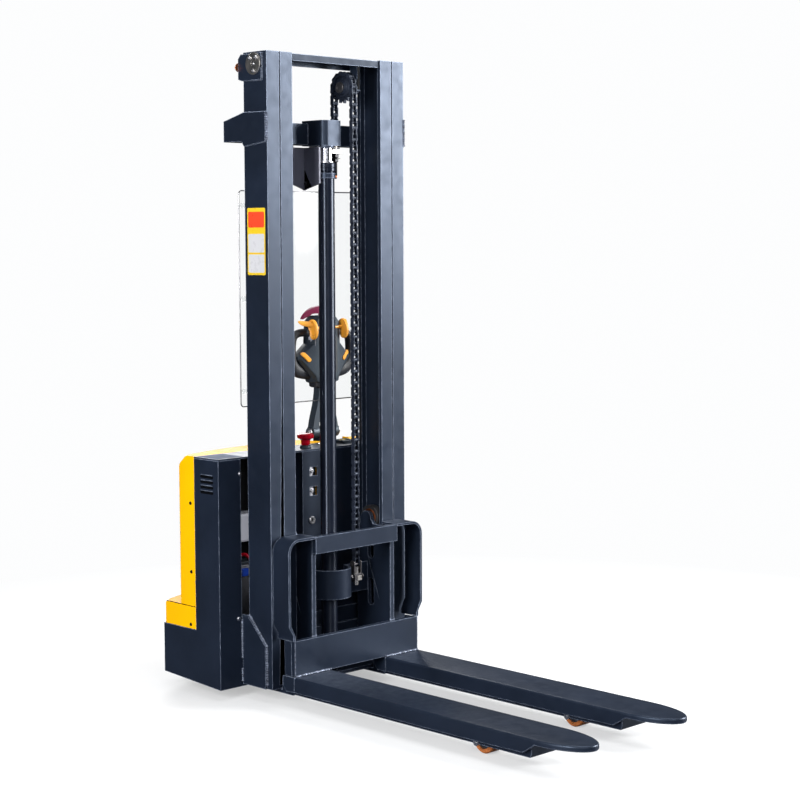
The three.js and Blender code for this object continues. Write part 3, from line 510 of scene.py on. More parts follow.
# ---- roller chain ----
PITCH = 0.01905
WHEEL = pivot("chain_wheel_turn")
TEETH = 15
PITCH_R = PITCH / 2 / math.sin(math.pi / TEETH)
LINK_END_R = 0.0084
LINK_WAIST = 0.007
PLATES = {"inner": (0.0063, 0.0086), "outer": (0.0089, 0.0112)}
BUSH_R, BUSH_HALF = 0.0068, 0.0061
PIN_R, PIN_HALF = 0.0031, 0.0124
STORED = (1.8, 1.885)  # heights between which the rear strand's spare links lie behind the crosshead


def link_outline():
    left = arc(0, 0, LINK_END_R, 110, 250, 5)
    right = arc(PITCH, 0, LINK_END_R, -70, 70, 5)
    return left + [(PITCH / 2, -LINK_WAIST)] + right + [(PITCH / 2, LINK_WAIST)]


def add_link(part, a, b, kind, last):
    """One link from pin a to pin b, in the plane of the chain."""
    along = (b - a).normalized()
    across = X.cross(along)
    for sign in (-1, 1):
        faces = [X * sign * x for x in PLATES[kind]]
        part.loft([[a + along * u + across * v + face for u, v in link_outline()] for face in faces])
    for pin in (a, b) if last else (a,):
        if kind == "inner":
            part.turn(mirrored([(BUSH_R, -BUSH_HALF)]), pin, X, 10)
        part.turn(mirrored([(PIN_R - 0.0007, -PIN_HALF), (PIN_R, -PIN_HALF + 0.0008)]), pin, X, 8)


def add_links(part, pins, first):
    for i, (a, b) in enumerate(zip(pins, pins[1:])):
        add_link(part, a, b, "inner" if (first + i) % 2 else "outer", i == len(pins) - 2)


def front_pins():
    count = int((WHEEL.z - low("chain_front").z) / PITCH)
    return [WHEEL - Y * PITCH_R - Z * PITCH * i for i in range(count + 1)]


def wrap_pins():
    step = 360 / TEETH
    turns = [math.radians(180 - step * i) for i in range(8)]
    return [WHEEL + Vector((0, math.cos(a), math.sin(a))) * PITCH_R for a in turns]


def rear_pins():
    """Pins of the rear strand as it hangs when the mast is raised."""
    start = wrap_pins()[-1] + Z * LIFT
    below = Vector((WHEEL.x, WHEEL.y + PITCH_R, start.z - PITCH * 0.9985))
    count = int((below.z - STORED[0]) / PITCH)
    return [start] + [below - Z * PITCH * i for i in range(count + 1)]


def rest_height(raised):
    """Where a point of the raised rear strand lies when the mast is down."""
    bottom, top = STORED
    if raised >= top + LIFT:
        return raised - LIFT
    a, b = 0.0, 1.0
    for _ in range(40):
        t = (a + b) / 2
        if bottom + (top - bottom) * t + LIFT * t * t * (3 - 2 * t) < raised:
            a = t
        else:
            b = t
    return bottom + (top - bottom) * a


def chain():
    steady = 7  # links between the wheel and the carriage when the mast is raised
    pins = front_pins()
    part = Part()
    add_links(part, pins[:steady + 1], 0)
    part.done("chain_front_top", "chain_steel", "inner_mast")
    add_links(part, pins[steady:], steady)
    spare = part.done("chain_front_links", "chain_steel", "inner_mast", replaces="chain_front")
    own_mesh(spare)

    add_links(part, wrap_pins(), 1)
    part.done("chain_wrap_links", "chain_steel", "inner_mast", replaces="chain_wrap")

    add_links(part, rear_pins(), 0)
    for vertex in part.bm.verts:
        vertex.co.z = rest_height(vertex.co.z)
    rear = part.done("chain_rear_links", "chain_steel", body=None, replaces="chain_rear")
    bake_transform(rear)


def chain_wheel():
    part = Part()
    step = 360 / TEETH
    tooth = [(-4.6, 0.0399), (4.6, 0.0399), (7.6, 0.0452), (10.1, 0.0505), (13.9, 0.0505), (16.4, 0.0452)]
    turns = [(math.radians(12 + step * i + angle), r) for i in range(TEETH) for angle, r in tooth]
    outline = [(WHEEL.y + r * math.cos(a), WHEEL.z + r * math.sin(a)) for a, r in turns]
    part.prism(outline, "x", WHEEL.x - 0.0054, WHEEL.x + 0.0054)
    hub = [(0.0335, 0.005), (0.0335, 0.0068), (0.031, 0.0078), (0.025, 0.0078), (0.022, 0.0125),
        (0.0205, 0.0158), (0.0143, 0.0158)]
    for sign in (-1, 1):
        part.turn(hub, WHEEL, X * sign, 32)
    part.done("chain_sprocket", "chain_steel", "chain_wheel", bevel=0.0006, replaces="chain_wheel")
    retainer = [(0.0185, 0.0165), (0.0185, 0.0195), (0.0165, 0.0215), (0.01, 0.0215), (0.009, 0.0205),
        (0.004, 0.0205)]
    part.turn(retainer, WHEEL, -X, 32)
    part.done("chain_wheel_retainer", "roller_steel", "inner_mast")


def anchor_cheeks(part, place, half, bottom, top, r, inner, outer):
    """Two plates beside the chain's last link."""
    outline = rounded(place.y - half, place.y + half, bottom, top, r)
    for sign in (-1, 1):
        part.prism(outline, "x", place.x + sign * inner, place.x + sign * outer)


def fixed_anchor():
    place = Vector((WHEEL.x, WHEEL.y + PITCH_R, 0))
    part = Part()
    anchor_cheeks(part, place, 0.0083, 1.79, 1.822, 0.005, 0.0126, 0.016)
    part.block(place + Vector((-0.016, -0.008, 1.786)), place + Vector((0.016, 0.008, 1.796)))
    for base, across, height in ((1.774, 0.024, 0.014), (1.758, 0.022, 0.012)):
        part.bolt(place + Z * base, -Z, across, height)
    part.turn([(0.0075, 1.7), (0.0085, 1.703), (0.0085, 1.776)], place, Z, 20)
    part.done("chain_anchor_nuts", "black_screw", slot="chain_steel", bevel=0.0008)


def carriage_anchor():
    place = Vector((WHEEL.x, WHEEL.y - PITCH_R, 0))
    end = low("chain_front").z
    part = Part()
    anchor_cheeks(part, place, 0.0105, end - 0.03, end + 0.02, 0.006, 0.0127, 0.017)
    part.block(place + Vector((-0.017, -0.0105, end - 0.046)), place + Vector((0.017, 0.0105, end - 0.022)))
    part.turn(mirrored([(0.0036, -0.021)]), place + Z * (end + 0.0078), X, 12)
    part.bolt_pair(place + Z * (end - 0.034), 0.017, 0.019, 0.01)
    part.done("chain_anchor_clevis", "roller_steel", "carriage", slot="chain_steel", bevel=0.0012)


chain()
chain_wheel()
fixed_anchor()
carriage_anchor()


# ---- mast ----
def roller_caps():
    for side, sign in SIDES:
        node = f"roller_cap_{side}"
        centre = middle(node)
        centre.x = sign * low("roller_cap_right").x
        out = X * sign
        part = Part()
        part.turn([(0.035, 0), (0.035, 0.0055), (0.0335, 0.007), (0.0085, 0.007), (0.0075, 0.006),
            (0.0075, 0.001)], centre, out, 48)
        part.done(f"cap_disc_{side}", "bright_steel", replaces=node)
        for angle in (50, 130, 265):
            a = math.radians(angle)
            spot = centre + Vector((0, math.cos(a), math.sin(a))) * 0.0235 + out * 0.007
            part.screw(spot, out, 0.0072, 0.0042)
        part.turn([(0.0068, 0.0005), (0.0068, 0.0035), (0.0035, 0.0062)], centre, out, 20)
        part.done(f"cap_screws_{side}", "zinc")


def mast_welds():
    """Beads on the outer faces of the ears, the head plates and the foot gussets."""
    part = Part()
    for side, sign in SIDES:
        x = sign * (SIDE + 0.0018)
        part.bead([at(x, 0.0015, 1.801), at(x, 0.0015, 1.889)], 0.0056)
        part.bead([at(x, 0.018, 1.996), at(x, 0.018, 2.07)], 0.0028)
        part.bead([at(x, 0.11, 1.992), at(x, 0.024, 1.988)], 0.0026)
        part.bead([at(x, 0.023, 0.058), at(x, 0.023, 0.184), at(x, 0.11, 0.2765)], 0.0052)
        part.done(f"mast_weld_{side}", "lit_weld_bead")
        x = sign * 0.3065
        for bottom, top in ((0.13, 0.262), (0.052, 0.098)):
            part.bead([at(x, 0.1395, bottom), at(x, 0.1395, top)], 0.0058)
        part.done(f"gusset_rear_weld_{side}", "lit_weld_bead")
        part.bolt(at(sign * 0.303, 0.131, 2.034), Y, 0.017, 0.011)
        part.done(f"head_bolt_{side}", "copper", bevel=0.0006)
    for x in (-0.2138, 0.2138):
        part.bead([at(x, 0.0055, 2.05), at(x, 0.0055, 2.0785)], 0.0026)
        part.bead([at(x, 0.008, 2.0795), at(x, 0.034, 2.0795)], 0.002)
    for x in (0.0465, -0.0315):
        part.bead([at(x, 0.1095, 1.802), at(x, 0.1095, 1.866)], 0.003)
    part.done("inner_mast_weld", "lit_weld_bead", "inner_mast")


def mast_shade_sheets():
    """Thin sheets of painted shade on the top bar, in the gap between the mast stages and on the chain
    wheel's hanger.
    """
    part = Part()
    part.block(at(-0.2125, 0.0052, 2.0572), at(0.2125, 0.0062, 2.0768))
    part.done("top_tie_shade", "shaded_dull_paint", "inner_mast")
    # Black strips in the gap between the mast stages: painted shade.
    for x in (-0.246, 0.246):
        part.block(at(x - 0.0022, 0.002, 0.07), at(x + 0.0022, 0.01, 2.07))
    part.done("mast_gap_shade", "shadow")
    part.block(at(0.0988, 0.0092, 1.979), at(0.1092, 0.0102, 2.058))
    part.done("hanger_shade", "shadow", "inner_mast")


def mast_label():
    """A blank sticker in three fields."""
    x = -SIDE - 0.0006
    fields = [("yellow_label", 0.013, 0.1, 1.379, 1.591), ("red_label", 0.018, 0.095, 1.529, 1.579),
        ("blank_label", 0.018, 0.095, 1.45, 1.509), ("blank_label", 0.018, 0.095, 1.386, 1.444)]
    part = Part()
    for i, (look, y0, y1, z0, z1) in enumerate(fields):
        raised = 0.0004 if i else 0.0
        part.prism(rounded(FRONT + y0, FRONT + y1, z0, z1, 0.005), "x", x - raised, -SIDE + 0.0002)
        part.done(f"blank_sticker_{i}", look)


def cylinder():
    centre = Vector((0, CYLINDER_Y, 0))
    foot, top = low("lift_cylinder").z, high("lift_cylinder").z
    barrel = [(0.036, foot), (0.036, foot + 0.018), (0.034, foot + 0.02), (0.029, foot + 0.022),
        (0.027, foot + 0.026), (0.027, top - 0.001), (0.0225, top)]
    part = Part()
    part.turn(barrel, centre, Z, 64)
    part.turn([(0.01, 0.018), (0.01, 0.04), (0.0085, 0.042)], centre + Z * PORT_Z, X, 20)
    part.done("cylinder_barrel", "black_enamel", replaces="lift_cylinder")
    gland_top = high("cylinder_gland").z
    gland = [(0.0285, top), (0.0305, top + 0.002), (0.0305, top + 0.009), (0.0288, top + 0.0105),
        (0.0288, top + 0.0125), (0.0305, top + 0.014), (0.0305, gland_top - 0.003), (0.0275, gland_top),
        (0.0212, gland_top)]
    part.turn(gland, centre, Z, 64)
    part.done("gland_nut", "black_enamel", replaces="cylinder_gland")
    wiper = [(0.0209, 0), (0.0256, 0), (0.0256, 0.003), (0.0225, 0.0045), (0.0209, 0.0045)]
    part.turn(wiper, centre + Z * gland_top, Z, 64, closed=True)
    part.done("rod_wiper", "zinc", slot="black_enamel")
    bleed = [(0.005, 0.028), (0.0062, 0.0285), (0.0062, 0.033), (0.004, 0.035)]
    part.turn(bleed, centre + Z * (top - 0.018), Vector((0.8, -0.6, 0)), 16)
    part.done("bleed_screw", "copper")
    rod_low, rod_top = low("lift_rod").z, high("lift_rod").z
    part.turn([(0.02, rod_low + 0.03), (0.02, rod_top - 0.0005)], centre, Z, 64)
    part.done("rod_shaft", "chrome", "inner_mast", replaces="lift_rod")
    part.turn([(0.0245, -0.0075), (0.026, -0.006), (0.026, -0.0003)], centre + Z * rod_top, Z, 48)
    part.done("rod_collar", "frame_paint", "inner_mast")


def bracket_bolts():
    part = Part()
    part.bolt(at(-0.041, 0.106, 1.672), -X, 0.012, 0.007)
    for x in (-0.085, -0.052):
        part.bolt(at(x, 0.16, 1.782), -Z, 0.013, 0.007)
    part.done("bracket_bolts", "black_screw", slot="bright_steel")
    part.turn([(0.0275, 1.688), (0.0305, 1.69), (0.0305, 1.706), (0.0275, 1.708)],
        Vector((0, CYLINDER_Y, 0)), Z, 48)
    part.done("cylinder_band", "frame_paint")


roller_caps()
mast_welds()
mast_shade_sheets()
mast_label()
cylinder()
bracket_bolts()


# ---- carriage and forks ----
UPPER_PLATE_LOW = 0.213  # lower edge of the upper load plate


def carriage_welds():
    plate = low("carriage_frame").y
    top, bottom = high("fork_left").z, UPPER_PLATE_LOW
    part = Part()

    def bead(ends, radius):
        part.bead([(x, plate + y, z) for x, y, z in ends], radius)

    for sign in (-1, 1):
        inner, outer = sorted((sign * 0.1235, sign * 0.2745))
        bead([(inner, -0.001, top + 0.0015), (outer, -0.001, top + 0.0015)], 0.0042)
        bead([(sign * 0.275, 0.001, top + 0.004), (sign * 0.275, 0.001, bottom - 0.001)], 0.0024)
        bead([(sign * 0.1835, -0.0003, 0.533), (sign * 0.1835, -0.0003, 0.542)], 0.0028)
        bead([(sign * 0.2735, 0.002, bottom + 0.002), (sign * 0.2735, 0.018, bottom + 0.002)], 0.0034)
        for x in (sign * 0.1685, sign * 0.1835):
            bead([(x, 0.0185, bottom + 0.0015), (x, 0.0205, bottom + 0.0015)], 0.0034)
            bead([(x, 0.0205, bottom + 0.003), (x, 0.0205, 0.478)], 0.002)
    bead([(-0.1825, 0.0205, 0.4838), (0.1825, 0.0205, 0.4838)], 0.002)
    part.done("carriage_weld", "lit_weld_bead", "carriage")


def carriage_side_plates():
    front, back = low("carriage_frame").y + 0.019, high("fork_left").y - 0.001
    part = Part()
    for x in (-0.2705, 0.2705):
        part.block((x - 0.004, front, high("fork_left").z - 0.001),
            (x + 0.004, back, UPPER_PLATE_LOW - 0.001))
    part.done("carriage_side_plates", "frame_paint", "carriage", bevel=0.0012)


FORK_SKIN = 0.008
FORK_RADIUS = 0.007
NOSE = 0.018  # thickness at the tip


def fork_outline(node):
    a, b = BOX[node]
    half = (b.x - a.x) / 2
    centre = (a.x + b.x) / 2
    taper = a.y + 0.172
    back = low("carriage_frame").y - 0.0003
    nose = [(centre - half * math.cos(t), taper - (taper - a.y) * math.sin(t))
        for t in [math.pi * i / 40 for i in range(41)]]
    right = [(centre + half, taper + (back - taper) * s) for s in (0.03, 0.2, 0.6, 1)]
    left = [(centre - half, taper + (back - taper) * s) for s in (1, 0.6, 0.2, 0.03)]
    return nose + right + left, taper


def fork(node):
    outline, taper = fork_outline(node)
    top, base = high(node).z, low(node).z

    def skirt(y):
        share = min(1, max(0, (y - taper + 0.01) / 0.045))
        return top - NOSE + (base - top + NOSE) * share ** 0.7

    def roof(y):
        return skirt(y) + 0.0004 if y < taper else top - FORK_SKIN

    rings = []
    for distance, height in ((FORK_SKIN, roof), (FORK_SKIN, skirt), (0.0022, skirt)):
        rings.append([(u, v, height(y)) for (u, v), (_, y) in zip(inset(outline, distance), outline)])
    rings.append([(x, y, skirt(y) + 0.0022) for x, y in outline])
    for k in range(7):
        a = math.pi / 2 * k / 6
        ring = inset(outline, FORK_RADIUS * (1 - math.cos(a)))
        rings.append([(x, y, top - FORK_RADIUS + FORK_RADIUS * math.sin(a)) for x, y in ring])
    part = Part()
    part.loft([[Vector(p) for p in ring] for ring in rings])
    a, b = BOX[node]
    back = low("carriage_frame").y
    for x0, x1 in ((a.x, a.x + 0.006), (b.x - 0.006, b.x)):
        heel = [(back - 0.002, base), (b.y - 0.016, base), (b.y, base + 0.018), (b.y, top - 0.001),
            (back - 0.002, top - 0.001)]
        part.prism(heel, "x", x0, x1)
    part.done(f"{node}_blade", "frame_paint", "carriage", bevel=0.0008, replaces=node)


def wheel_pieces(tyre_name, core_name, body, centre, tyre, core, sides):
    """A tyre and its core, each from half of its profile; the core has 8 sides fewer."""
    part = Part()
    part.turn(mirrored(tyre), centre, X, sides, closed=True)
    part.done(tyre_name, "polyurethane", body, replaces=body)
    part.turn(mirrored(core), centre, X, sides - 8, closed=True)
    part.done(core_name, "rim_steel", body)


def load_wheels():
    part = Part()
    for side, _ in SIDES:
        node = f"load_wheel_{side}"
        centre = pivot(f"{node}_spin")
        half = (high(node).x - low(node).x) / 2
        tyre = [(0.026, -half), (0.037, -half), (0.04, -half + 0.004)]
        core = [(0.0084, -half - 0.001), (0.0185, -half - 0.001), (0.0185, -half + 0.004),
            (0.0258, -half + 0.004)]
        wheel_pieces(f"load_tyre_{side}", f"load_wheel_core_{side}", node, centre, tyre, core, 48)
        part.bolt_pair(centre, 0.0622, 0.013, 0.005)
        part.done(f"load_axle_bolts_{side}", "zinc")


carriage_welds()
carriage_side_plates()
fork("fork_left")
fork("fork_right")
load_wheels()


# ---- covers ----
HOOD_WALL = 0.004
WELL_R = 0.092


def bow(half, side_y, rear_y, steps=24):
    """The bowed rear of a cover in plan, from its right end to its left end."""
    rise = rear_y - side_y
    radius = (half * half + rise * rise) / (2 * rise)
    reach = math.asin(half / radius)
    turns = [reach - 2 * reach * i / steps for i in range(steps + 1)]
    return [(radius * math.sin(a), rear_y - radius + radius * math.cos(a)) for a in turns]


def with_corners(points, radius=0.014, steps=4):
    """The bow with its two ends rounded into the flat sides."""
    x0, y0 = points[0]
    right = [(x0 - radius * (1 - math.cos(a)), y0 - radius + radius * math.sin(a) * 0.9)
        for a in [math.pi / 2 * i / steps for i in range(steps)]]
    left = [(-x, y) for x, y in reversed(right)]
    inner = [p for p in points if abs(p[0]) < x0 - radius]
    return right + inner + left


def cover_outline(inset_by, front, side_y, rear_y):
    half = BODY_SIDE - inset_by
    return [(-half, front), (half, front)] + with_corners(bow(half, side_y - inset_by, rear_y - inset_by))


HOOD_SIDE = FRONT + 0.354
HOOD_REAR = FRONT + 0.43
HOOD_LOW = low("hood").z
CHAMFER = (0.038, 0.031)


def hood_solid(shrink, bottom, front):
    """The hood's volume with soft shoulders, or the same volume a wall's thickness further in."""
    run, rise = CHAMFER
    bend = DECK - rise
    profile = [(0, bottom), (0, bend - 0.012), (run * 0.035, bend - 0.002), (run * 0.2, bend + rise * 0.2),
        (run * 0.78, DECK - rise * 0.21), (run * 0.93, DECK - 0.003), (run * 1.1, DECK)]
    part = Part()
    part.loft([[Vector((x, y, z - shrink if z > bend else z)) for x,
        y in cover_outline(shrink, front, HOOD_SIDE - back, HOOD_REAR - back)] for back, z in profile])
    return part


def well_tool(radius, bottom, top):
    """A tunnel round the steering column that is open to the rear."""
    steer = pivot("steering")
    outline = [(steer.x + x, steer.y + y) for x, y in arc(0, 0, radius, 180, 360, 32)]
    outline += [(steer.x + radius, steer.y + 0.25), (steer.x - radius, steer.y + 0.25)]
    part = Part()
    part.prism(outline, "z", bottom, top)
    return part


def ring_wall():
    """The half-round wall of the steering recess, up to the hood's shoulder."""
    steer = pivot("steering")
    outer = arc(steer.x, steer.y, WELL_R + HOOD_WALL, 180, 360, 32)
    inner = arc(steer.x, steer.y, WELL_R - 0.002, 360, 180, 32)
    part = Part()
    part.prism(outer + inner, "z", HOOD_LOW + 0.0005, DECK - 0.001)
    return part


def carve(obj, steps):
    """Applies boolean steps and removes the tools."""
    for operation, tool in steps:
        modifier = obj.modifiers.new(operation, "BOOLEAN")
        modifier.operation = operation
        modifier.solver = "EXACT"
        modifier.object = tool
    graph = bpy.context.evaluated_depsgraph_get()
    made = bpy.data.meshes.new_from_object(obj.evaluated_get(graph))
    obj.modifiers.clear()
    obj.data = made
    for _, tool in steps:
        bpy.data.objects.remove(tool)


def finish_cover(obj, node):
    """A carved cover in the hood's paint."""
    shade_smooth(obj.data)
    soften(obj, 0.0016, 3, 38)
    dress(obj, "hood_paint", "chassis", node)


def hood():
    split = low("hood").y
    steps = [("DIFFERENCE", hood_solid(HOOD_WALL, HOOD_LOW - 0.1, split - 0.05).shape("inside")),
        ("UNION", ring_wall().shape("well wall")),
        ("DIFFERENCE", well_tool(WELL_R, HOOD_LOW - 0.2, DECK + 0.2).shape("well"))]
    obj = hood_solid(0, HOOD_LOW, split).shape("hood_shell")
    carve(obj, steps)
    finish_cover(obj, "hood")


def skirt():
    a, b = BOX["skirt_cover"]
    side_y, rear_y = FRONT + 0.437, FRONT + 0.53
    round_top = 0.01
    part = Part()
    rings = []
    for back, z in ((0, a.z), (0, b.z - round_top), (0.0008, b.z - 0.006), (0.003, b.z - 0.003),
            (0.006, b.z - 0.0008), (0.01, b.z)):
        rings.append([Vector((x, y - back if y > side_y - 0.02 else y, z)) for x,
            y in cover_outline(0, a.y, side_y, rear_y)])
    part.loft(rings)
    obj = part.shape("skirt_shell")
    hollow = Part()
    hollow.prism(cover_outline(HOOD_WALL, a.y - 0.05, side_y, rear_y), "z", a.z - 0.05, b.z - HOOD_WALL)
    opening = Part()
    opening.prism(cover_outline(0.02, a.y - 0.05, HOOD_SIDE, HOOD_REAR), "z", a.z, b.z + 0.05)
    steer = pivot("steering")
    column = Part()
    column.turn([(0.086, a.z - 0.05), (0.086, b.z + 0.05)], Vector((steer.x, steer.y, 0)), Z, 64)
    carve(obj, [("DIFFERENCE", hollow.shape("hollow")), ("DIFFERENCE", opening.shape("opening")),
        ("DIFFERENCE", column.shape("column"))])
    finish_cover(obj, "skirt_cover")


def body_screws():
    split = low("hood").y
    part = Part()
    for y, z in ((0.02, 0.635), (0.02, 0.408), (0.026, 0.232)):
        for sign in (-1, 1):
            part.screw(Vector((sign * BODY_SIDE, split + y, z)), X * sign, 0.0058, 0.003)
    for x, back in ((-0.2, 0.0087), (-0.1, 0), (0, 0.0087)):
        part.screw(Vector((x, HOOD_REAR - back, 0.33)), Y, 0.0058, 0.003)
    part.done("cover_screws", "black_screw")
    for sign in (-1, 1):
        x0, x1 = sorted((sign * (BODY_SIDE - 0.001), sign * (BODY_SIDE + 0.0003)))
        part.block((x0, split + 0.001, HOOD_LOW - 0.0012), (x1, HOOD_REAR - 0.01, HOOD_LOW + 0.0012))
    part.done("hood_seam", "shadow", slot="hood_paint")
    for x, z in ((-0.3107, 0.736), (-0.322, 0.262)):
        part.bolt(Vector((x, BODY_FRONT, z)), -Y, 0.009, 0.004)
    part.done("front_bolts", "zinc")


def louvres():
    """Slots in the dark side panels, each under a pressed lip."""
    for side, sign in SIDES:
        dark, lips = Part(), Part()
        for i in range(4):
            z = 0.729 - 0.017 * i
            y0, y1 = FRONT + 0.166, FRONT + 0.232
            x = sign * BODY_SIDE
            xs = sorted((x - sign * 0.0002, x + sign * 0.0006))
            dark.prism(rounded(y0, y1, z - 0.0046, z + 0.0046, 0.0044), "x", *xs)
            points = [Vector((x + sign * 0.0002, y0 + 0.004, z + 0.0058)),
                Vector((x + sign * 0.0002, y1 - 0.004, z + 0.0058))]
            lips.rod(resample(points, 0.004), 0.0014, 10)
        dark.done(f"louvre_slots_{side}", "shadow")
        lips.done(f"louvre_lips_{side}", "frame_paint")


def front_panel():
    """Edges, inner lining and bolts of the front shell."""
    part = Part()
    for z in (0.715, 0.648):
        part.bolt(at(0.009, 0.152, z), -Y, 0.013, 0.007)
        part.block(at(-0.012, 0.1525, z - 0.018), at(0.03, 0.155, z + 0.018))
    part.done("panel_inner_bolts", "zinc", bevel=0.0006)
    part.turn([(0.012, 0), (0.0135, 0.001), (0.0135, 0.003), (0.0115, 0.0045), (0.0075, 0.0045),
        (0.0065, 0.003), (0.006, 0.0006)], at(0.0, 0.14, 0.55), -Y, 32)
    part.done("lifting_eye_plug", "zinc")
    part.turn([(0.0062, 0.0002), (0.0062, 0.001)], at(0.0, 0.14, 0.55), -Y, 24)
    part.done("plug_hole", "rubber", slot="bright_steel")
    part.block((-0.394, BODY_FRONT + 0.01, DECK - 0.0002), (-0.292, low("hood").y - 0.012, DECK + 0.0008))
    part.done("deck_plate_left", "deck_sheet", bevel=0.0006)


def controller_cover():
    a, b = BOX["motor_controller"]
    part = Part()
    part.block((a.x + 0.004, a.y - 0.004, a.z + 0.004), (b.x - 0.004, a.y + 0.0002, b.z - 0.004))
    part.done("controller_cover", "light_plastic", bevel=0.002)
    for x in (a.x + 0.012, b.x - 0.012):
        for z in (a.z + 0.012, b.z - 0.012):
            part.screw(Vector((x, a.y - 0.004, z)), -Y, 0.0035, 0.002)
    part.done("controller_screws", "zinc")
    # A black sheet inside the front shell behind the controller: painted shade.
    part.block((-0.386, b.y + 0.003, 0.432), (-0.09, b.y + 0.005, DECK - 0.012))
    part.done("cover_inside_shade", "shadow")


def batteries():
    """Lids, caps, terminals, the connector's plug and its leads."""
    plug_low, plug_high = BOX["battery_connector"]
    part = Part()
    part.block(plug_low + Vector((0.004, -0.01, 0.003)), (plug_high.x - 0.03, plug_low.y + 0.012,
        plug_high.z - 0.003))
    part.done("connector_plug", "blue_plastic", bevel=0.003)
    socket = Vector((plug_high.x - 0.012, plug_low.y + 0.018, plug_high.z - 0.01))
    leads = []
    for node in ("battery_left", "battery_right"):
        a, b = BOX[node]
        part.prism(footprint(node, 0.006, 0.006), "z", b.z - 0.0125, b.z - 0.004)
        for k in range(6):
            cap = Vector((a.x + 0.026 + 0.024 * k, (a.y + b.y) / 2 + 0.02, b.z - 0.004))
            part.turn([(0.009, -0.006), (0.009, 0.001), (0.0075, 0.003), (0.003, 0.003)], cap, Z, 20)
        part.done(f"{node}_lid", "dark_plastic", slot="battery_case", bevel=0.0012)
        for x in (a.x + 0.026, b.x - 0.026):
            part.bolt(Vector((x, a.y + 0.025, b.z)), Z, 0.012, 0.006)
        part.done(f"{node}_terminal_nuts", "zinc")
        start = Vector((a.x + 0.026, a.y + 0.025, b.z + 0.006))
        leads.append([start, start + Vector((0, -0.014, 0.012)),
            (start + socket) / 2 + Vector((0.01, -0.012, 0.028)), socket + Vector((0.02, 0.002, 0.008)),
            socket])
    for name, look, lead in zip(("battery_cable_red", "battery_cable_black"), ("red_plastic", "rubber"),
            leads):
        part.rod(smooth(lead, 8), 0.0055, 12)
        part.done(name, look, slot="rubber")


def hose():
    port = Vector((0.045, CYLINDER_Y, PORT_Z))
    points = [at(0.127, 0.204, 0.29), at(0.109, 0.203, 0.286), at(0.098, 0.196, 0.214),
        at(0.095, 0.182, 0.14), at(0.088, 0.143, 0.106), at(0.084, 0.1, 0.104), at(0.066, 0.057, 0.116),
        port]
    part = Part()
    part.rod(smooth(points, 8), lambda i: 0.0068 + 0.0001 * math.sin(i * 2.1), 16)
    part.done("oil_hose", "rubber", replaces="hydraulic_hose")
    part.turn([(0.0075, 0), (0.0085, 0.001), (0.0085, 0.014), (0.0075, 0.016)], port - X * 0.003, X, 20)
    part.bolt(at(0.128, 0.204, 0.29), -X, 0.018, 0.01)
    part.done("hose_fittings", "zinc")
    grommet = [(0.0078, -0.004), (0.0125, -0.004), (0.0155, -0.001), (0.0155, 0.001), (0.0125, 0.003),
        (0.0078, 0.003)]
    part.turn(grommet, at(0.098, 0.196, 0.218), Z, 24, closed=True)
    part.done("hose_grommet", "rubber")


hood()
skirt()
body_screws()
louvres()
front_panel()
controller_cover()
batteries()
hose()


# ---- controls ----
TILLER = pivot("tiller_fold")


def head_ring(half, y):
    """A closed outline from its right half; y is a number or a function of x."""
    level = y if callable(y) else lambda x: y
    points = list(half) + [(-x, z) for x, z in reversed(half)]
    return [TILLER + Vector((x, level(abs(x)), z)) for x, z in points]


HEAD_HALF = [(0.036, 0.17), (0.054, 0.176), (0.061, 0.196), (0.121, 0.258), (0.121, 0.268), (0.065, 0.313),
    (0.06, 0.391), (0.04, 0.4095)]
HEAD_MIDDLE = 0.29
HEAD_FRONT, HEAD_REAR = -0.031, 0.035
PANEL_HALF = 0.045  # the flat middle of the front; the wings beside it slope back
WING_SLOPE = 0.27


def wing_y(x):
    return HEAD_FRONT + WING_SLOPE * max(0.0, x - PANEL_HALF)


def drawn_in(half, across, up):
    return [(x * across, HEAD_MIDDLE + (z - HEAD_MIDDLE) * up) for x, z in half]


def head_front(part, ring):
    """The faceted front: a flat middle and two sloping wings with a crease."""
    rows = len(ring) // 2
    inner = []
    for i in range(1, rows - 1):
        x = min(PANEL_HALF, ring[i].co.x - TILLER.x - 0.006)
        pair = [part.bm.verts.new((TILLER.x + s * x, TILLER.y + HEAD_FRONT, ring[i].co.z)) for s in (1, -1)]
        inner.append(pair)
    inner = [[ring[0], ring[-1]]] + inner + [[ring[rows - 1], ring[rows]]]
    for i in range(rows - 1):
        (a, b), (c, d) = inner[i], inner[i + 1]
        part.bm.faces.new((a, b, d, c))
        for near, far, k, m in ((a, c, i, i + 1), (b, d, 2 * rows - 1 - i, 2 * rows - 2 - i)):
            face = [near, ring[k], ring[m], far]
            part.bm.faces.new([v for n, v in enumerate(face) if v not in face[:n]])


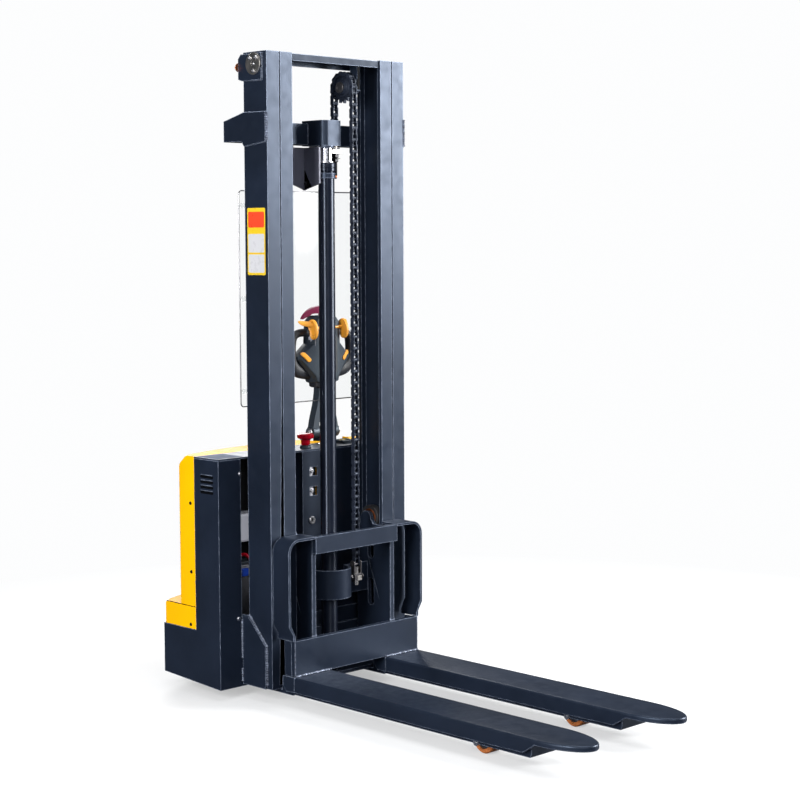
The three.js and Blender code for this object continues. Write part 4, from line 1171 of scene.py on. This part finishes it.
def tiller_head():
    part = Part()
    rows = part.loft([head_ring(drawn_in(HEAD_HALF, 0.91, 0.965), wing_y), head_ring(HEAD_HALF, -0.009),
        head_ring(HEAD_HALF, 0.027), head_ring(drawn_in(HEAD_HALF, 0.92, 0.96), HEAD_REAR)], first_cap=False)
    head_front(part, rows[0])
    part.done("head_shell", "dark_plastic", "tiller", bevel=0.0018, segments=3, replaces="tiller_head")
    for sign in (-1, 1):
        band = [(0.057, -0.029), (0.0642, -0.0105), (0.0642, 0.002), (0.06, 0.002), (0.055, -0.025)]
        part.loft([[TILLER + Vector((sign * x, y, z)) for x, y in band] for z in (0.305, 0.352)])
    part.done("head_side_bands", "light_plastic", "tiller", slot="dark_plastic", bevel=0.001, segments=2)
    panel = [(0.03, 0.196), (0.042, 0.222), (0.042, 0.325), (0.03, 0.345)]
    for y0, y1 in ((HEAD_FRONT - 0.0022, HEAD_FRONT + 0.001), (HEAD_REAR - 0.001, HEAD_REAR + 0.0022)):
        part.loft([head_ring(panel, y) for y in (y0, y1)])
    part.done("head_panels", "rubber", "tiller", slot="dark_plastic", bevel=0.0012, segments=3)
    part.loft([[TILLER + Vector((x, y, z)) for x, y in rounded(-w, w, -d, d + 0.003, 0.012)] for w, d,
        z in ((0.04, 0.02, 0.157), (0.046, 0.024, 0.161), (0.047, 0.025, 0.177), (0.042, 0.022, 0.184))])
    part.done("head_collar", "rubber", "tiller", slot="dark_plastic", bevel=0.0016)
    for x, z in ((-0.04, 0.372), (0.04, 0.372), (-0.04, 0.186), (0.04, 0.186)):
        part.screw(TILLER + Vector((x, HEAD_REAR, z)), Y, 0.0042, 0.002)
    part.done("head_screws", "black_screw", "tiller")


GRIP_R = 0.014
GRIP_Y = 0.008
BOW_HEIGHT = 0.0245  # half-height of the moulded bow under the head


def grip():
    """Round hand bars that run into a tall moulded bow under the head."""
    half = [(-0.058, 0.35), (-0.104, 0.35), (-0.13, 0.332), (-0.135, 0.28), (-0.124, 0.23), (-0.08, 0.213)]
    points = [(x, 0, z) for x, z in half] + [(0, 0, 0.209)] + [(-x, 0, z) for x, z in reversed(half)]
    path = smooth(points, 8)
    rings = []
    for i, p in enumerate(path):
        tangent = (path[min(i + 1, len(path) - 1)] - path[max(i - 1, 0)]).normalized()
        side = tangent.cross(Y)
        low_share = min(1, max(0, (0.262 - p.z) / 0.036))
        tall = GRIP_R + (BOW_HEIGHT - GRIP_R) * low_share * low_share * (3 - 2 * low_share)
        rings.append([TILLER + p + Y * (GRIP_Y + GRIP_R * math.sin(a)) + side * tall * math.cos(a)
            for a in circle(24)])
    part = Part()
    part.loft(rings)
    part.done("grip_loop", "rubber", "tiller", replaces="tiller_grip")
    for sign in (-1, 1):
        part.turn([(0.0142, 0), (0.0165, 0.001), (0.0165, 0.008), (0.0142, 0.01)],
            TILLER + Vector((sign * 0.064, GRIP_Y, 0.35)), X * sign, 32)
    part.done("grip_collars", "dark_plastic", "tiller")


def kidney(axis, x, grow):
    """The thumb disc's outline, hollowed where the hand bar passes behind it."""
    ring = []
    for a in circle(48):
        z = (0.035 + grow) * math.sin(a) - 0.005
        y = (0.0235 + grow) * math.cos(a)
        if y > 0:
            y *= 1 - 0.42 * math.exp(-((z + 0.016) / 0.015) ** 2)
        ring.append(axis + Vector((x, y - 0.005 + 0.1 * z, z)))
    return ring


def thumb_paddle(axis, sign):
    """A paddle that sweeps out and back from its disc."""
    tilt = math.radians(50)
    deep = Y * math.cos(tilt) + Z * math.sin(tilt)
    thick = Z * math.cos(tilt) - Y * math.sin(tilt)
    rings = []
    for s in range(11):
        t = s / 10
        centre = axis + Vector((sign * (0.076 + 0.038 * t), -0.002 + 0.026 * t,
            0.013 + 0.004 * t + 0.004 * t ** 4))
        end = math.sqrt(1 - 0.93 * t ** 5)
        rings.append([centre + (deep * 0.0118 * math.cos(a) + thick * 0.0052 * math.sin(a)) * end
            for a in circle(24)])
    return rings


def throttle():
    axis = pivot("throttle_turn")
    disc = [(0.0652, -0.004), (0.0665, -0.001), (0.0685, 0), (0.0745, 0), (0.077, -0.0015), (0.078, -0.004),
        (0.077, -0.0075), (0.0745, -0.011)]
    part = Part()
    part.turn(mirrored([(0.0065, -0.07)]), axis, X, 32)
    for sign in (-1, 1):
        part.loft([kidney(axis, sign * x, grow) for x, grow in disc])
        part.loft(thumb_paddle(axis, sign))
    part.done("throttle_butterfly", "yellow_plastic", "throttle", replaces="throttle")


def pad(part, centre, sign, length, width, angle, proud, deep):
    """An oblong button that follows the slope of the head's wing."""
    c, s = math.cos(math.radians(angle)), math.sin(math.radians(angle))
    outline = rounded(-length / 2, length / 2, -width / 2, width / 2, width * 0.42)
    rings = []
    for shrink, y in ((0, deep), (0, -proud + 0.0016), (0.0016, -proud)):
        ring = [(centre.x + u * c - v * s, centre.z + u * s + v * c) for u, v in inset(outline, shrink)]
        rings.append([TILLER + Vector((x, wing_y(sign * x) + y, z)) for x, z in ring])
    part.loft(rings)


def dome():
    """The red safety cap that follows the crown of the head."""
    y0, y1 = -0.013, 0.033
    rings = []
    for k in range(-14, 15):
        turn = math.pi / 2 * k / 14
        x = 0.074 * math.sin(turn)
        base = min(0.417, 0.397 + (0.074 - abs(x)) * 0.667)
        top = max(base + 0.0012, 0.398 + 0.045 * math.cos(turn) ** 1.1)
        front = y0 + 0.03 * (abs(x) / 0.074) ** 2
        r = min(0.011, (top - base) * 0.7)
        shoulder = arc(y1 - r, top - r, r, 0, 90, 5) + arc(front + r, top - r, r, 90, 180, 5)
        rings.append([TILLER + Vector((x, y, z)) for y, z in [(front, base), (y1, base)] + shoulder])
    return rings


def buttons():
    for name, sign in (("lift_button", -1), ("lower_button", 1)):
        part = Part()
        pad(part, middle(name) - TILLER, sign, 0.042, 0.0145, sign * 44, 0.0042, 0.008)
        part.done(f"{name}_pad", "yellow_plastic", name, bevel=0.0005, replaces=name)
    part = Part()
    part.turn([(0.0095, -0.006), (0.0095, 0.0045), (0.0085, 0.0065), (0.005, 0.0078), (0.0008, 0.0082)],
        middle("horn_button"), Y, 32)
    part.done("horn_button_cap", "red_plastic", "horn_button", replaces="horn_button")
    part.loft(dome())
    part.turn([(0.0098, 0.389), (0.0098, 0.4175)], TILLER + Y * 0.006, Z, 24)
    part.done("belly_button_dome", "crimson", "belly_button", bevel=0.001, replaces="belly_button")


def deck_place(node):
    """The point of the deck's surface under a control."""
    centre = middle(node)
    return Vector((centre.x, centre.y, DECK))


def emergency_stop():
    mushroom = [(0.0118, -0.03), (0.0118, 0.012), (0.0155, 0.013), (0.016, 0.028), (0.02, 0.0315),
        (0.027, 0.0345), (0.0288, 0.04), (0.028, 0.0465), (0.024, 0.0495), (0.015, 0.05), (0.002, 0.05)]
    part = Part()
    part.turn(mushroom, deck_place("emergency_stop"), Z, 48)
    part.done("stop_mushroom", "red_plastic", "emergency_stop", replaces="emergency_stop")
    collar = [(0.019, 0), (0.019, 0.004), (0.0168, 0.01), (0.013, 0.011)]
    part.turn(collar, deck_place("emergency_stop"), Z, 40)
    part.done("stop_collar", "dark_plastic", bevel=0.0004)


def key():
    place = deck_place("key_switch")
    bezel = [(0.012, -0.02), (0.0165, 0.0002), (0.0165, 0.0028), (0.013, 0.0052), (0.005, 0.0052),
        (0.0046, 0.001)]
    part = Part()
    part.turn(bezel, place, Z, 40)
    part.done("key_bezel", "zinc", bevel=0.0004, replaces="key_switch")
    a, b = BOX["ignition_key"]
    blade = rounded(place.y - 0.0035, place.y + 0.0035, a.z, DECK + 0.013, 0.001)
    bow_plate = rounded(a.y, b.y, DECK + 0.012, b.z, 0.0085)
    for outline, half in ((blade, 0.0011), (bow_plate, 0.0021)):
        part.prism(outline, "x", place.x - half, place.x + half)
    part.done("key_blade", "black_screw", "ignition_key", slot="dark_plastic", bevel=0.0006,
        replaces="ignition_key")


def gauge():
    a, b = BOX["battery_gauge"]
    part = Part()
    rings = []
    for shrink, z in ((0, a.z), (0, b.z - 0.002), (0.002, b.z), (0.007, b.z), (0.0085, b.z - 0.002)):
        outline = footprint("battery_gauge", shrink, 0.006 - shrink * 0.4)
        rings.append([Vector((x, y, z)) for x, y in outline])
    part.loft(rings)
    part.done("gauge_bezel", "dark_plastic", bevel=0.0004, replaces="battery_gauge")
    part.prism(footprint("battery_gauge", 0.009, 0.003), "z", b.z - 0.0022, b.z - 0.0014)
    part.done("gauge_window", "gauge_glass")
    for i in range(5):
        x = a.x + 0.015 + 0.0062 * i
        part.prism(rounded(x, x + 0.0042, b.y - 0.026, b.y - 0.018, 0.0006), "z", b.z - 0.0015, b.z - 0.0011)
    part.done("gauge_bars", "yellow_label", slot="yellow_plastic")


def screen():
    a, b = BOX["guard_screen"]
    half, y0, y1 = 0.284, b.y - 0.004, b.y
    outline = rounded(-half, half, a.z, b.z, 0.012, 8)
    part = Part()
    part.prism(outline, "y", y0 + 0.0003, y1 - 0.0003)
    part.done("screen_sheet", "clear_screen", replaces="guard_screen")
    rim = [Vector((x, (y0 + y1) / 2, z)) for x, z in outline]
    part.rod(rim, 0.0019, 8, closed=True)
    part.done("screen_rim", "rim_steel", slot="clear_screen")
    for z in (1.0, 1.3, 1.6):
        for sign in (-1, 1):
            spot = Vector((sign * 0.27, 0, z))
            part.turn([(0.0058, FRONT + 0.1122), (0.0058, y0 - 0.004), (0.009, y0 - 0.0035),
                (0.009, y0 - 0.0001)], spot, Y, 20)
            part.screw(spot + Y * y1, Y, 0.008, 0.0035)
    part.done("screen_studs", "clear_screen")


# ---- drive unit and caster ----
def wheel(node, core, bore, bolts=0):
    """A tyre on a dished rim, turning about X."""
    centre = middle(node)
    half = (high(node).x - low(node).x) / 2
    r = (high(node).z - low(node).z) / 2
    tyre = [(core, -half + 0.001), (r - 0.006, -half), (r - 0.0015, -half + 0.004), (r, -half + 0.01)]
    rim = [(bore, -half + 0.002), (core * 0.45, -half + 0.002), (core * 0.52, -half + 0.009),
        (core * 0.88, -half + 0.009), (core * 0.94, -half), (core, -half)]
    wheel_pieces(f"{node}_tyre", f"{node}_rim", node, centre, tyre, rim, 64)
    if not bolts:
        return
    part = Part()
    for sign in (-1, 1):
        for a in circle(bolts):
            spot = centre + Vector((sign * (half - 0.0085), math.cos(a) * core * 0.7,
                math.sin(a) * core * 0.7))
            part.bolt(spot, X * sign, 0.012, 0.006)
    part.done(f"{node}_bolts", "zinc", node)


def drive_details():
    steer = pivot("steering")
    column = Vector((steer.x, steer.y, 0))
    part = Part()
    profile = []
    for k in range(9):
        z = 0.54 + 0.022 * k
        profile += [(0.0365 + 0.006, z), (0.035, z + 0.011)]
    part.turn([(0.0345, 0.53)] + profile + [(0.0345, 0.745)], column, Z, 48)
    part.done("column_bellows", "rubber", "drive_unit")
    for a in circle(8):
        part.bolt(column + Vector((0.061 * math.cos(a), 0.061 * math.sin(a), 0.52)), Z, 0.01, 0.006)
    part.turn([(0.02, 0), (0.02, 0.012), (0.012, 0.016)], column + Vector((0.0, 0.067, 0.47)), Y, 24)
    part.done("motor_bolts", "zinc", "drive_unit")
    for k in range(7):
        z = 0.285 + 0.028 * k
        part.turn([(0.0675, z), (0.0705, z + 0.003), (0.0705, z + 0.009), (0.0675, z + 0.012)], column, Z,
            64)
    part.done("motor_fins", "black_enamel", "drive_unit")
    part.bolt_pair(TILLER, 0.0662, 0.019, 0.006)
    part.done("tiller_pin_bolts", "zinc", "drive_unit")


def caster_details():
    swivel = pivot("caster_swivel")
    axle = pivot("caster_wheel_spin")
    part = Part()
    part.bolt_pair(axle, 0.0322, 0.013, 0.006)
    part.done("caster_axle_bolts", "zinc", "caster_fork")
    part.turn([(0.03, 0.158), (0.0335, 0.16), (0.0335, 0.166), (0.0315, 0.17), (0.0335, 0.174),
        (0.0335, 0.184), (0.03, 0.188)], Vector((swivel.x, swivel.y, 0)), Z, 48)
    part.done("caster_bearing", "rim_steel", "caster_fork")


def roller_details():
    """Dished faces and seals of the mast rollers."""
    names = [n for n in BOX if "_roller_" in n]
    for name in names:
        centre = middle(name)
        half = (high(name).x - low(name).x) / 2
        part = Part()
        for sign in (-1, 1):
            part.turn([(0.0145, half), (0.026, half + 0.0004), (0.028, half + 0.0012),
                (0.03, half + 0.0004)], centre, X * sign, 40)
        part.done(f"{name}_seals", "copper", name, slot="roller_steel")


tiller_head()
grip()
throttle()
buttons()
emergency_stop()
key()
gauge()
screen()
wheel("drive_wheel", 0.078, 0.0165, 5)
wheel("caster_wheel", 0.044, 0.0068)
drive_details()
caster_details()
roller_details()


# ---- studio ----
PALE = (0.98, 0.985, 0.99, 1)


def stage():
    n = Nodes("floor")
    seen = n.add("ShaderNodeLightPath").outputs["Is Camera Ray"]
    pale = n.mix(n.remap(n.noise(1.5, 3), 0.3, 0.7, 0, 1), (0.84, 0.85, 0.86, 1), (0.88, 0.885, 0.89, 1))
    tone = n.mix(seen, (0.08, 0.09, 0.12, 1), pale)
    floor_material = n.principled(Base_Color=tone, Roughness=n.remap(n.noise(6), 0.3, 0.7, 0.55, 0.7),
        Normal=n.bump(n.noise(90), 0.02))
    out = n.tree.nodes["Material Output"]
    distance = n.add("ShaderNodeVectorMath", operation="LENGTH")
    n.put(distance.inputs[0], n.coord)
    glow = n.add("ShaderNodeEmission")
    glow.inputs["Color"].default_value = PALE
    fade = n.add("ShaderNodeMixShader")
    n.put(fade.inputs[0], n.math("MULTIPLY", seen, n.remap(distance.outputs["Value"], 0.9, 2.8, 0.45, 1.0)))
    n.put(fade.inputs[1], out.inputs["Surface"].links[0].from_socket)
    n.put(fade.inputs[2], glow.outputs[0])
    n.put(out.inputs["Surface"], fade.outputs[0])
    part = Part()
    part.turn([(45.0, -0.02), (45.0, 0.0), (0.001, 0.0)], Vector((0, 0, -0.0005)), Z, 96)
    floor = part.done("floor", "rubber", body=None)
    floor.data.materials[0] = floor_material


def world():
    made = bpy.data.worlds.new("studio")
    bpy.context.scene.world = made
    made.use_nodes = True
    tree = made.node_tree
    tree.nodes.clear()
    ray = tree.nodes.new("ShaderNodeLightPath")
    shown, lit, mix, out = (tree.nodes.new(k) for k in ("ShaderNodeBackground", "ShaderNodeBackground",
        "ShaderNodeMixShader", "ShaderNodeOutputWorld"))
    shown.inputs["Color"].default_value = PALE
    lit.inputs["Color"].default_value = (0.8, 0.88, 1.0, 1)
    lit.inputs["Strength"].default_value = 0.1
    tree.links.new(ray.outputs["Is Camera Ray"], mix.inputs[0])
    tree.links.new(lit.outputs[0], mix.inputs[1])
    tree.links.new(shown.outputs[0], mix.inputs[2])
    tree.links.new(mix.outputs[0], out.inputs[0])


def softbox(name, place, aim, size, power, colour=(1, 1, 1)):
    light = bpy.data.lights.new(name, "AREA")
    light.shape = "RECTANGLE"
    light.size, light.size_y = size
    light.energy = power
    light.color = colour
    obj = bpy.data.objects.new(name, light)
    obj.location = place
    obj.rotation_euler = (Vector(aim) - Vector(place)).to_track_quat("-Z", "Y").to_euler()
    bpy.context.scene.collection.objects.link(obj)


def camera():
    data = bpy.data.cameras.new("camera")
    data.lens = 81.18
    data.sensor_width = 36.0
    obj = bpy.data.objects.new("camera", data)
    yaw, pitch, roll = (math.radians(a) for a in (44.553, 5.144, 0.212))
    turn = Matrix.Rotation(-yaw, 4, "Z") @ Matrix.Rotation(math.pi / 2 - pitch, 4,
        "X") @ Matrix.Rotation(-roll, 4, "Z")
    obj.matrix_world = Matrix.Translation(at(-4.0054, -4.3531, 1.4956)) @ turn
    bpy.context.scene.collection.objects.link(obj)
    bpy.context.scene.camera = obj


stage()
world()
camera()
softbox("key", (4.2, -3.1, 2.9), (0.1, 0.2, 1.2), (2.6, 3.0), 620)
softbox("front fill", (-3.2, -5.5, 3.6), (0, 0, 0.9), (2.2, 2.2), 130)
softbox("top", (0.3, -0.4, 5.2), (0, 0, 0.6), (3.0, 3.0), 140)
softbox("left", (-5.0, -1.0, 2.4), (0, 0.6, 0.6), (1.6, 2.6), 330)
softbox("back", (2.5, 5.0, 3.0), (0, 0.3, 0.9), (2.6, 2.6), 150)
bpy.context.scene.view_settings.view_transform = "Standard"
